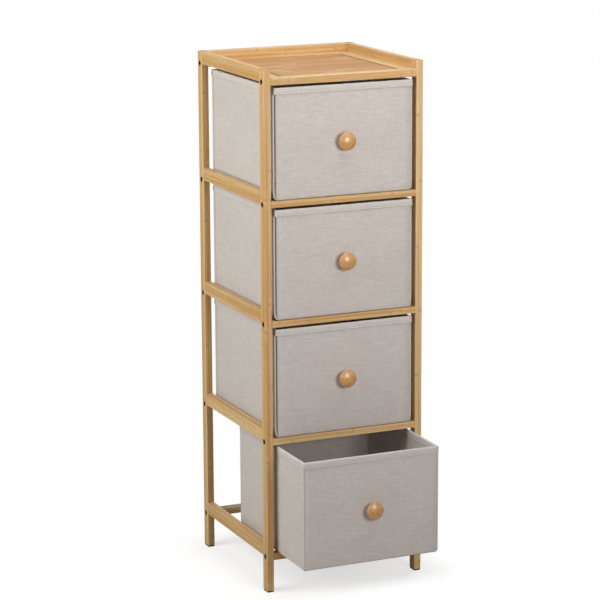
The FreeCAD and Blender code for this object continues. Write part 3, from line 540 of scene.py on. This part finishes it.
def bag_shape(size):
    """Straight bag: rounded upright seams, a hollow with even walls, and cuts where it will bend."""
    shape = bmesh.new()
    # Per-vertex amount of painted shade (above zero) and painted highlight (below zero)
    shape.verts.layers.float.new("painted_shade_and_highlight")
    bmesh.ops.create_cube(shape, size=1)
    bmesh.ops.translate(shape, verts=shape.verts, vec=(0, 0, 0.5))
    bmesh.ops.scale(shape, verts=shape.verts, vec=size)
    upright = [e for e in shape.edges if abs(e.verts[0].co.z - e.verts[1].co.z) > size.z / 2]
    bmesh.ops.bevel(
        shape, geom=upright, offset=SEAM_ROUND, segments=4, affect="EDGES", profile=0.5, material=-1,
    )
    shape.normal_update()
    top = [f for f in shape.faces if f.normal.z > 0.9]
    bmesh.ops.inset_region(shape, faces=top, thickness=WALL, use_even_offset=True)
    sunk = bmesh.ops.extrude_discrete_faces(shape, faces=top)["faces"]
    bmesh.ops.translate(shape, verts=sunk[0].verts, vec=(0, 0, CLOTH_LAYER - size.z))
    for axis in (0, 1):
        half = size[axis] / 2
        inner = half - CREASE_END
        cut_across(shape, axis, spaced(-inner, inner, WALL_GRID))
        creases = (WELT_WIDTH, CREASE_MIDDLE, CREASE_END)
        cut_across(shape, axis, [sign * (half - place) for place in creases for sign in (-1, 1)])
    cut_across(shape, 2, [FOOT_ROUND * share for share in FOOT_STEPS])
    bound = size.z - BINDING_HEIGHT
    cut_across(shape, 2, spaced(FOOT_ROUND, bound, WALL_GRID))
    cut_across(shape, 2, [bound, bound - TUCK])
    return shape


def welt_move(x, y, edge):
    """Move at a corner seam, pinched to a welt that reaches sideways, a little behind the front."""
    sideways = 0
    backwards = 0
    if edge[1] < WELT_WIDTH + NEAR and edge[0] < CREASE_END + NEAR:
        past = max(0, edge[0] - WELT_WIDTH)
        sideways = WELT_REACH + WELT_SLOPE * min(edge[0], WELT_WIDTH) - CREASE_SLOPE * past
    if edge[0] < WELT_WIDTH + NEAR and edge[1] < CREASE_END + NEAR:
        backwards = WELT_SETBACK - BACK_SLOPE * edge[1]
    return Vector((math.copysign(sideways, x), -math.copysign(backwards, y), 0))


def in_crease(edge, axis):
    """Whether a vertex of the wall across one axis lies in the crease beside its corner seam."""
    return edge[axis] < NEAR and abs(edge[1 - axis] - CREASE_MIDDLE) < NEAR


def painted_seam_shading(edge, from_rim, swell):
    """Painted shade and highlight at a vertex: above zero painted shade in closed folds, below zero painted
    highlight on welts and seams.
    """
    for axis in (0, 1):
        # Painted shade in the crease beside the welt
        if in_crease(edge, axis):
            return CREASE_SHADES[axis] * swell
    # The welt is painted paler: painted highlight where it catches the light
    if max(edge) < WELT_WIDTH + NEAR:
        return WELT_PAINTED_HIGHLIGHT * swell
    # Painted shade on the cloth just under the binding
    if abs(from_rim - BINDING_HEIGHT) < NEAR and min(edge) < SEAM_ROUND:
        return BINDING_SHADE
    # The inner corner seams are painted paler: painted highlight
    if max(abs(edge[0] - WALL), abs(edge[1] - WALL)) < NEAR:
        return INNER_SEAM_PAINTED_HIGHLIGHT
    return 0


def wall_move(place, edge, from_rim, axis, number):
    """Outward move of a wall: proud between its seams on both faces, turned under at the foot."""
    x, y, z = place
    from_seam = edge[1 - axis]
    move = 0
    outside = edge[axis] < NEAR
    inside = abs(edge[axis] - WALL) < NEAR and from_seam > WALL - NEAR and z > CLOTH_LAYER - NEAR
    if outside or inside:
        hold = faded(from_seam, *PROUD_FROM_SEAM) * faded(z, *PROUD_FROM_FOOT)
        hold *= faded(from_rim, *PROUD_FROM_RIM)
        # Every wall of every drawer bulges in its own way
        bulge = Vector((x / BULGE_LENGTH, y / BULGE_LENGTH, z / BULGE_HEIGHT))
        bulge += Vector((number * DRAWER_SEED, 0, axis * FACE_SEED))
        amount = BULGE_MEAN + BULGE_SWING * noise.noise(bulge)
        amount += BULGE_RIPPLE * noise.noise(bulge * RIPPLE_SCALE)
        move = PROUD * hold * amount * (1 if outside else -1)
    if edge[axis] < SEAM_ROUND + NEAR and z < FOOT_ROUND:
        drop = FOOT_ROUND - z
        move -= FOOT_ROUND - math.sqrt(max(0, FOOT_ROUND ** 2 - drop ** 2))
    return move


def sewn_box(number):
    """Closed bag: outer walls with their seams and foot, rim, inner walls and floor."""
    low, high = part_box("drawer_%d_wall_boards" % number)
    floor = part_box("drawer_%d_cover" % number)[0].z
    layers = 2 * CLOTH_LAYER
    size = Vector((high.x - low.x + layers, high.y - low.y + layers, high.z - floor))
    shape = bag_shape(size)
    shade = shape.verts.layers.float["painted_shade_and_highlight"]
    for vertex in shape.verts:
        x, y, z = vertex.co
        from_rim = size.z - z
        edge = (size.x / 2 - abs(x), size.y / 2 - abs(y))
        swell = faded(z, *SEAM_FROM_FOOT) * faded(from_rim, *SEAM_FROM_RIM)
        # The open drawer's welts are pulled flat, the closed ones' are pinched between the rails
        if number == OPEN_DRAWER:
            swell *= OPEN_SEAM_SHARE
        move = welt_move(x, y, edge) * swell
        for axis in (0, 1):
            outward = wall_move(vertex.co, edge, from_rim, axis, number)
            if in_crease(edge, axis):
                outward -= CREASE_DEPTHS[axis] * swell
            move[axis] += math.copysign(1, vertex.co[axis]) * outward
        # Painted shade and highlight of the seams, used by the cloth's colour
        vertex[shade] = painted_seam_shading(edge, from_rim, swell)
        vertex.co += move
    middle = ((low.x + high.x) / 2, (low.y + high.y) / 2, floor)
    bmesh.ops.translate(shape, verts=shape.verts, vec=middle)
    bmesh.ops.recalc_face_normals(shape, faces=shape.faces)
    lay_cloth(shape)
    piece = drawer_piece(shape, "drawer_%d_cloth_box" % number, box_cloth, number)
    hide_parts("drawer_%d_cover" % number)


box_cloth = slub_cloth("slub_linen_look_cloth", CLOTH_LIGHT, CLOTH_DARK)
for number in range(1, 5):
    sewn_box(number)


# Corner tapes
# Inside each box the seam allowances of the four corners are bound in the same cloth as the rim and
# pressed flat into narrow ridges, from the base board up to the binding.
BINDING_LIGHT = "#D6CDC8"
BINDING_DARK = "#C2B8B1"
TAPE_RADIUS = 1.5 * MM
TAPE_SHARES = (1.3, 0.75)
TAPE_CLEARANCE = 0.4 * MM
TAPE_TUCK = 1 * MM
TAPE_GRID = 9 * MM
TAPE_WAVER = 0.3 * MM
TAPE_WAVE = 25 * MM
TAPE_SEED = Vector((3.3, 0, 0))
OTHER_WAY = Vector((9, 9, 9))


def corner_tapes(number):
    """Seam allowances inside the four corners, bound and pressed flat into narrow ridges."""
    low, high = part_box("drawer_%d_wall_boards" % number)
    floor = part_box("drawer_%d_base_board" % number)[1].z
    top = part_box("drawer_%d_hem" % number)[0].z + TAPE_TUCK
    inward = WALL - CLOTH_LAYER + TAPE_CLEARANCE
    shape = bmesh.new()
    for x, side in ((low.x, -1), (high.x, 1)):
        for y, end in ((low.y, -1), (high.y, 1)):
            made = bmesh.ops.create_cone(
                shape, cap_ends=True, segments=10, radius1=TAPE_RADIUS, radius2=TAPE_RADIUS, depth=1,
            )["verts"]
            bmesh.ops.scale(shape, verts=made, vec=(*TAPE_SHARES, top - floor))
            slant = Matrix.Rotation(-side * end * math.pi / 4, 3, "Z")
            bmesh.ops.rotate(shape, verts=made, cent=(0, 0, 0), matrix=slant)
            spot = (x - side * inward, y - end * inward, (top + floor) / 2)
            bmesh.ops.translate(shape, verts=made, vec=spot)
    cut_across(shape, 2, spaced(floor, top, TAPE_GRID))
    for vertex in shape.verts:
        spot = vertex.co / TAPE_WAVE + number * TAPE_SEED
        vertex.co.x += TAPE_WAVER * noise.noise(spot)
        vertex.co.y += TAPE_WAVER * noise.noise(spot + OTHER_WAY)
    lay_cloth(shape)
    drawer_piece(shape, "drawer_%d_corner_tapes" % number, binding_cloth, number)


binding_cloth = slub_cloth("slub_binding_cloth", BINDING_LIGHT, BINDING_DARK)
for number in range(1, 5):
    corner_tapes(number)


# Binding of the rims
# A straight strip of cloth is folded over the rim and sewn through all layers near its lower edge. The
# thread draws the strip in, so its edge wavers a little.
STRIP = 0.6 * MM
STRIP_LEG = 0.54 * MM
BAND = WALL + 2 * STRIP
CORNER_ROUND = SEAM_ROUND + STRIP + 1.2 * MM
CORNER_MERGE = 3.5 * MM
FOLD_ROUND = 1.4 * MM
RIM_GRID = 8 * MM
RIM_RISE = 0.5 * MM
RIM_WAVER = 0.3 * MM
RIM_STEPS = (0.45, 0.7)
STITCH_ROW = 9.6 * MM
ROW_BELOW = 0.8 * MM
ROW_ABOVE = 1.2 * MM
PULL = 0.7 * MM
PULL_REACH = 1.8 * MM
PUFF = 0.25 * MM
LOWER_FOLD = 0.45 * MM
LOWER_REACH = 1.6 * MM
EDGE_WAVER = 0.1 * MM
EDGE_WAVE = 16.7 * MM
EDGE_SEED = 5.3
RISE_SEED = Vector((3, 3, 3))
SHADE_REACH = 1 * MM
RIM_CREST = 4 * MM
LONG_WAVE_SHARE = 0.12
ROW_SHADE = 0.2
LOWER_EDGE_PAINTED_HIGHLIGHT = -0.4
WRAP_SHARE = 0.85
OPEN_WRAP_SHARE = 0.3
WRAP_BAND = 2.5 * MM
WRAP_LOSS = 0.25
# Where the wrap over the welts begins to fade, and over what length
WRAP_SIDE = (3.5 * MM, 4 * MM)
WRAP_FRONT = (2 * MM, 4 * MM)
WRAP_UP = (3 * MM, 9 * MM)


def lift(shape, faces, height):
    """Extrudes faces upwards."""
    raised = bmesh.ops.extrude_face_region(shape, geom=faces)["geom"]
    lifted = [item for item in raised if isinstance(item, bmesh.types.BMVert)]
    bmesh.ops.translate(shape, verts=lifted, vec=(0, 0, height))


def binding_channel(size):
    """Straight channel over the rim: rounded corners and fold, open underneath, cut where it will bend."""
    shape = bmesh.new()
    # Per-vertex amount of painted shade (above zero) and painted highlight (below zero)
    shape.verts.layers.float.new("painted_shade_and_highlight")
    bmesh.ops.create_grid(shape, x_segments=1, y_segments=1, size=0.5)
    bmesh.ops.scale(shape, verts=shape.verts, vec=(size.x, size.y, 1))
    corners = shape.verts[:]
    bmesh.ops.bevel(
        shape, geom=corners, offset=CORNER_ROUND, segments=5, affect="VERTICES", profile=0.5, material=-1,
    )
    middle = shape.faces[:]
    bmesh.ops.inset_region(shape, faces=middle, thickness=BAND, use_even_offset=True, use_boundary=True)
    bmesh.ops.delete(shape, geom=middle, context="FACES")
    # Inside, the binding turns each corner sharply
    for side, end in ((-1, -1), (-1, 1), (1, -1), (1, 1)):
        turn = Vector((side * (size.x / 2 - BAND), end * (size.y / 2 - BAND), 0))
        near = [v for v in shape.verts if (v.co - turn).length < CORNER_MERGE]
        bmesh.ops.pointmerge(shape, verts=near, merge_co=turn)
    lift(shape, shape.faces[:], size.z)
    bmesh.ops.recalc_face_normals(shape, faces=shape.faces)
    shape.normal_update()
    fold = [
        e for e in shape.edges
        if min(v.co.z for v in e.verts) > size.z / 2 and len({round(f.normal.z) for f in e.link_faces}) == 2
    ]
    bmesh.ops.bevel(
        shape, geom=fold, offset=FOLD_ROUND, segments=4, affect="EDGES", profile=0.5, material=-1,
    )
    shape.normal_update()
    sole = [f for f in shape.faces if f.normal.z < -0.9]
    bmesh.ops.inset_region(shape, faces=sole, thickness=STRIP_LEG, use_even_offset=True)
    lift(shape, sole, size.z - 2 * STRIP)
    bmesh.ops.delete(shape, geom=[f for f in sole if f.is_valid], context="FACES")
    for axis in (0, 1):
        half = size[axis] / 2 - CORNER_ROUND
        cut_across(shape, axis, spaced(-half, half, RIM_GRID))
    row = size.z - STITCH_ROW
    cut_across(shape, 2, [row - ROW_BELOW, row, row + ROW_ABOVE])
    cut_across(shape, 2, [size.z * share for share in RIM_STEPS])
    return shape


def rim_binding(number):
    """Binding settled on its box: drawn in by the thread, wrapped over the welts, wavering a little."""
    low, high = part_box("drawer_%d_hem" % number)
    size = high - low
    shape = binding_channel(size)
    shade = shape.verts.layers.float["painted_shade_and_highlight"]
    for vertex in shape.verts:
        x, y, z = vertex.co
        from_row = abs(z - (size.z - STITCH_ROW))
        edge = (size.x / 2 - abs(x), size.y / 2 - abs(y))
        spot = Vector((x / EDGE_WAVE + number * EDGE_SEED, y / EDGE_WAVE, 0))
        waver = noise.noise(spot)
        for axis in (0, 1):
            if edge[axis] < NEAR and edge[1 - axis] > CORNER_ROUND:
                # Drawn in along the thread, puffed above it and thicker at its folded lower edge
                outward = PUFF - PULL * (1 - faded(from_row, 0, PULL_REACH))
                outward += LOWER_FOLD * (1 - faded(z, 0, LOWER_REACH))
                outward -= EDGE_WAVER * waver
                vertex.co[axis] += math.copysign(1, vertex.co[axis]) * outward
                # Painted shade in the hollow that the thread draws along the row
                vertex[shade] = ROW_SHADE * (1 - faded(from_row, 0, SHADE_REACH))
                # Painted highlight along the folded lower edge, which catches the light
                vertex[shade] += LOWER_EDGE_PAINTED_HIGHLIGHT * (1 - faded(z, 0, SHADE_REACH))
        if min(edge) < WRAP_BAND:
            # It wraps over the welts at the corners, less over the flat ones of the open drawer
            reach = WELT_REACH * (OPEN_WRAP_SHARE if number == OPEN_DRAWER else WRAP_SHARE)
            reach *= (1 - faded(edge[0], *WRAP_SIDE)) * (1 - faded(edge[1], *WRAP_FRONT))
            vertex.co.x += math.copysign(reach, x) * (1 - WRAP_LOSS * faded(z, *WRAP_UP))
        if z < SHADE_REACH:
            vertex.co.z += LOWER_FOLD * (1 + waver) / 2
        if z > size.z - RIM_CREST:
            vertex.co.z += RIM_RISE + RIM_WAVER * noise.noise(spot * LONG_WAVE_SHARE + RISE_SEED)
    spot = (low.x + size.x / 2, low.y + size.y / 2, low.z + RIM_RISE)
    bmesh.ops.translate(shape, verts=shape.verts, vec=spot)
    bmesh.ops.recalc_face_normals(shape, faces=shape.faces)
    lay_cloth(shape)
    piece = drawer_piece(shape, "drawer_%d_rim_binding" % number, binding_cloth, number)
    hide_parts("drawer_%d_hem" % number)


for number in range(1, 5):
    rim_binding(number)


# Stitches of the rims
# One row of lockstitch in spun polyester thread runs round each binding, on both faces. The stitches
# lie in the hollow that they draw into the strip, each a little askew.
STITCH_PITCH = 3.3 * MM
STITCH_SIZE = (2.5 * MM, 0.8 * MM, 0.8 * MM)
STITCH_END = 6 * MM
OUTER_DEPTH = 0.4 * MM
INNER_DEPTH = 0.12 * MM
STITCH_TILT = 0.08
TILT_SCALES = (900, 70)
THREAD_TWIST = 0.385 * MM


def sewing_thread():
    """Spun polyester thread, a shade lighter than the cloth, with its twist as fine slanting lines."""
    made, tree, shader = new_material("spun_polyester_thread")
    place = add(tree, "TexCoord", result="Object")
    slanted = add(tree, "Mapping", {"Vector": place, "Rotation": (0.6, 0.6, 0.6)})
    twist = add(tree, "TexNoise", {"Vector": slanted, "Scale": 1 / THREAD_TWIST, "Detail": 1.0})
    feed(shader, {
        "Base Color": add(tree, "Mix", {0: twist, 6: linear("#CFC5BB"), 7: linear("#E7DFD6")}, **TINT),
        "Roughness": 0.75,
        "Sheen Weight": 0.2,
    })
    return made


def rim_stitches(number):
    """One row of stitches round the binding, outside and inside."""
    low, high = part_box("drawer_%d_hem" % number)
    level = high.z + RIM_RISE - STITCH_ROW
    template = bmesh.new()
    bmesh.ops.create_uvsphere(template, u_segments=6, v_segments=4, radius=0.5)
    bmesh.ops.scale(template, verts=template.verts, vec=STITCH_SIZE)
    one = bpy.data.meshes.new("one_stitch")
    template.to_mesh(one)
    template.free()
    shape = bmesh.new()
    rows = [
        (along, level_out, spaced(low[along] + end, high[along] - end, STITCH_PITCH))
        for depth, end in ((OUTER_DEPTH, STITCH_END), (BAND - INNER_DEPTH, STITCH_END + WALL))
        for along in (0, 1)
        for level_out in (low[1 - along] + depth, high[1 - along] - depth)
    ]
    for along, level_out, places in rows:
        for place in places:
            before = len(shape.verts)
            shape.from_mesh(one)
            shape.verts.ensure_lookup_table()
            spot = Vector((place * TILT_SCALES[0], level_out * TILT_SCALES[1], number))
            tilt = STITCH_TILT * noise.noise(spot)
            turn = Matrix.Rotation(along * math.pi / 2, 3, "Z") @ Matrix.Rotation(tilt, 3, "Y")
            spot = Vector((place, level_out, level) if along == 0 else (level_out, place, level))
            for vertex in shape.verts[before:]:
                vertex.co = turn @ vertex.co + spot
    bpy.data.meshes.remove(one)
    drawer_piece(shape, "drawer_%d_rim_stitches" % number, thread, number)


thread = sewing_thread()
for number in range(1, 5):
    rim_stitches(number)


# Base boards
# A loose stiff board covered with the same cloth lies on the floor of each drawer. The cloth is glued
# round its edges, which makes them soft, and its faces are slightly uneven.
BASE_ROUND = 1.2 * MM
BASE_GRID = 14 * MM
BASE_DIP = 0.18 * MM
BASE_WAVE = 45.5 * MM
BASE_SEED = Vector((4.1, 0, 0))


def covered_board(number):
    """Cloth-covered board with rounded edges and slightly uneven faces."""
    low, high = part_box("drawer_%d_base_board" % number)
    size = high - low
    shape = bmesh.new()
    bmesh.ops.create_cube(shape, size=1)
    bmesh.ops.scale(shape, verts=shape.verts, vec=size)
    bmesh.ops.bevel(
        shape, geom=shape.edges[:], offset=BASE_ROUND, segments=3, affect="EDGES", profile=0.5, material=-1,
    )
    for axis in (0, 1):
        half = size[axis] / 2 - BASE_ROUND
        cut_across(shape, axis, spaced(-half, half, BASE_GRID))
    for vertex in shape.verts:
        spot = vertex.co / BASE_WAVE + number * BASE_SEED
        vertex.co.z -= math.copysign(BASE_DIP, vertex.co.z) * (0.5 + 0.5 * noise.noise(spot))
    bmesh.ops.translate(shape, verts=shape.verts, vec=(low + high) / 2)
    lay_cloth(shape)
    piece = drawer_piece(shape, "drawer_%d_covered_board" % number, box_cloth, number)
    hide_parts("drawer_%d_base_board" % number)


for number in range(1, 5):
    covered_board(number)


# Knobs
# Each knob is turned from a pale hardwood, sanded and lacquered, and held by a zinc-plated screw that
# comes through the front wall from inside over a broad washer.
KNOB_PALE = "#CB985F"
KNOB_DEEP = "#99632F"
KNOB_FLECK = "#8F5F33"
HEART_REACH = 17 * MM
HEART_DEGREES = {1: 250, 2: 320, 3: 80, 4: 165}
RING_SPACING = 4.35 * MM
RING_TAPER = 11.1 * MM
RING_BEND = 18.2 * MM
RING_PATCH = 8.33 * MM
PORE_WIDTH = 0.667 * MM
PORE_LENGTH = 7.69 * MM


def turned_wood(number):
    """Lacquered turned wood: soft patchy growth rings, drawn coarser than real, under a clear gloss."""
    made, tree, shader = new_material("lacquered_turned_wood_%d" % number)
    # The rings lie round the heart of the tree, which is beside the knob
    corners = [Vector(corner) for corner in nodes["drawer_%d_knob" % number].bound_box]
    turn = math.radians(HEART_DEGREES[number])
    heart = sum(corners, Vector()) / 8 + HEART_REACH * Vector((math.cos(turn), 0, math.sin(turn)))
    place = add(tree, "TexCoord", result="Object")
    bent = add(tree, "TexNoise", {"Vector": place, "Scale": 1 / RING_BEND, "Detail": 2.0})
    patchy = add(tree, "TexNoise", {"Vector": place, "Scale": 1 / RING_PATCH, "Detail": 1.0})
    moved = add(tree, "Mapping", {"Vector": place, "Location": -heart})
    split = add(tree, "SeparateXYZ", (moved,)).node.outputs
    flat = add(tree, "CombineXYZ", {0: split[0], 2: split[2]})
    reach = add(tree, "VectorMath", (flat,), "Value", operation="LENGTH")
    rings = add(tree, "Math", (reach, RING_SPACING), operation="DIVIDE")
    rings = add(tree, "Math", (bent, 4.0, rings), operation="MULTIPLY_ADD")
    rings = add(tree, "Math", (split[1], 1 / RING_TAPER, rings), operation="MULTIPLY_ADD")
    ring = add(tree, "Math", (rings, 0.5), operation="PINGPONG")
    ring = add(tree, "MapRange", (ring, 0.1, 0.5, 0.0, 0.75), **SMOOTH)
    patch = add(tree, "MapRange", (patchy, 0.35, 0.65, 0.2, 1.0), **SMOOTH)
    ring = add(tree, "Math", (ring, patch), operation="MULTIPLY")
    pore = streaks(tree, place, 2, PORE_WIDTH, PORE_LENGTH)
    share = add(tree, "MapRange", (pore, 0.52, 0.72, 0.0, 0.4), **SMOOTH)
    colour = add(tree, "Mix", {0: ring, 6: linear(KNOB_PALE), 7: linear(KNOB_DEEP)}, **TINT)
    feed(shader, {
        "Base Color": add(tree, "Mix", {0: share, 6: colour, 7: linear(KNOB_FLECK)}, **TINT),
        "Roughness": add(tree, "MapRange", (pore, 0.3, 0.7, 0.3, 0.4), **SMOOTH),
        "Coat Weight": 0.5,
        "Coat Roughness": 0.26,
        "Normal": add(tree, "Bump", {"Strength": 0.03, "Distance": 0.03 * MM, "Height": pore}),
    })
    return made


for number in range(1, 5):
    dress("drawer_%d_knob" % number, turned_wood(number))
    dress("drawer_%d_knob_washer" % number, bright_zinc)
    dress("drawer_%d_knob_screw" % number, bright_zinc)


# Camera
# It stands where the tower was photographed from, to the left in front and above the tray. Its place,
# turn and focal length come from a fit to the frame's corners.
CAMERA_PLACE = (-1.9361, -4.3471, 1.6001)
YAW = math.radians(23.779)
PITCH = math.radians(12.660)
ROLL = math.radians(-0.314)
FOCAL_SHARE = 2473.5 / 600
SENSOR = 36.0

camera_data = bpy.data.cameras.new("studio_camera")
camera_data.sensor_width = SENSOR
camera_data.lens = SENSOR * FOCAL_SHARE
camera = bpy.data.objects.new("studio_camera", camera_data)
bpy.context.scene.collection.objects.link(camera)
look = Vector((math.sin(YAW) * math.cos(PITCH), math.cos(YAW) * math.cos(PITCH), -math.sin(PITCH)))
turn = look.to_track_quat("-Z", "Y").to_matrix() @ Matrix.Rotation(ROLL, 3, "Z")
camera.matrix_world = Matrix.Translation(Vector(CAMERA_PLACE) + Vector((0, tower_y, 0))) @ turn.to_4x4()
bpy.context.scene.camera = camera


# Paper floor
# White background paper is rolled out under the tower and lit until it shows no edge. Only near the
# feet does it keep a pale shadow.
PAPER = "#B2B1AF"
WHITE = "#FFFFFF"
PAPER_REACH = 20
PAPER_GLOW = 0.6
SHADOW_REACH = 90 * MM


def lit_paper():
    """White paper that keeps a pale shadow under and beside the tower and is plain white further out."""
    made, tree, shader = new_material("white_paper_floor")
    split = add(tree, "SeparateXYZ", (add(tree, "TexCoord", result="Object"),)).node.outputs
    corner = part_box("right_rear_post")[1]
    past = []
    for axis, middle, half in ((0, 0.0, corner.x), (1, tower_y, corner.y - tower_y)):
        moved = add(tree, "Math", (split[axis], middle), operation="SUBTRACT")
        distance = add(tree, "Math", (moved,), operation="ABSOLUTE")
        beyond = add(tree, "Math", (distance, half), operation="SUBTRACT")
        past.append(add(tree, "Math", (beyond, 0.0), operation="MAXIMUM"))
    outside = add(tree, "CombineXYZ", past)
    reach = add(tree, "VectorMath", (outside,), "Value", operation="LENGTH")
    fade = add(tree, "MapRange", (reach, 0.0, SHADOW_REACH), **SMOOTH)
    feed(shader, {"Base Color": linear(PAPER), "Roughness": 0.9})
    plain = shader.outputs[0]
    glow = add(tree, "Emission", {"Color": linear(WHITE), "Strength": PAPER_GLOW})
    white = add(tree, "Emission", {"Color": linear(WHITE), "Strength": 1.0})
    seen = add(tree, "MixShader", (fade, add(tree, "AddShader", (plain, glow)), white))
    camera_ray = add(tree, "LightPath", result="Is Camera Ray")
    final = add(tree, "MixShader", (camera_ray, plain, seen))
    feed(tree.nodes["Material Output"], {"Surface": final})
    return made


floor_shape = bmesh.new()
bmesh.ops.create_grid(floor_shape, x_segments=1, y_segments=1, size=PAPER_REACH)
floor_mesh = bpy.data.meshes.new("paper_floor")
floor_shape.to_mesh(floor_mesh)
floor_shape.free()
floor_mesh.materials.append(lit_paper())
paper = bpy.data.objects.new("paper_floor", floor_mesh)
bpy.context.scene.collection.objects.link(paper)


# Lamps and room
# A softbox with a honeycomb grid stands well in front of the tower, a little higher than its tray. A
# broad lamp lights the left side, and two more fill in from above and behind. The room is white to
# the camera and nearly so in reflections, but adds little light of its own.
AMBIENT = "#F6F6F6"
AMBIENT_STRENGTH = 0.16
ROOM_IN_GLOSS = 0.7


def soft_lamp(name, place, aim, side, power, tint=WHITE, spread=180):
    """Square soft lamp; a narrow spread in degrees is the honeycomb grid of a softbox."""
    data = bpy.data.lights.new(name, "AREA")
    data.shape = "SQUARE"
    data.size = side
    data.energy = power
    data.color = linear(tint)[:3]
    data.spread = math.radians(spread)
    lamp = bpy.data.objects.new(name, data)
    lamp.visible_camera = False
    bpy.context.scene.collection.objects.link(lamp)
    aimed = (Vector(aim) - Vector(place)).to_track_quat("-Z", "Y").to_matrix()
    lamp.matrix_world = Matrix.Translation(place) @ aimed.to_4x4()


front_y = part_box("right_front_post")[0].y
soft_lamp(
    "front_lamp", place=(0.3, front_y - 2.4, 1.25), aim=(0.1, front_y, 1.25), side=1.0, power=12, spread=90,
)
soft_lamp("left_lamp", place=(-1.65, 0, 1.3), aim=(0, 0, 0.7), side=1.2, power=27, tint="#FBFFFD")
soft_lamp("top_lamp", place=(0.05, -0.4, 2.5), aim=(0, 0, 0.9), side=1.4, power=17)
soft_lamp("rear_lamp", place=(2.4, 1.8, 1.3), aim=(0, 0, 0.6), side=1.6, power=22)

world = bpy.data.worlds.new("studio_world")
bpy.context.scene.world = world
world.use_nodes = True
sky = world.node_tree
ambient = sky.nodes["Background"]
feed(ambient, {"Color": linear(AMBIENT), "Strength": AMBIENT_STRENGTH})
white_room = add(sky, "Background", {"Color": linear(WHITE), "Strength": 1.0})
path = add(sky, "LightPath").node.outputs
in_gloss = add(sky, "Math", (path["Is Glossy Ray"], ROOM_IN_GLOSS), operation="MULTIPLY")
seen_share = add(sky, "Math", (path["Is Camera Ray"], in_gloss), operation="MAXIMUM")
room = add(sky, "MixShader", (seen_share, ambient.outputs[0], white_room))
feed(sky.nodes["World Output"], {"Surface": room})
bpy.context.scene.view_settings.view_transform = "Standard"
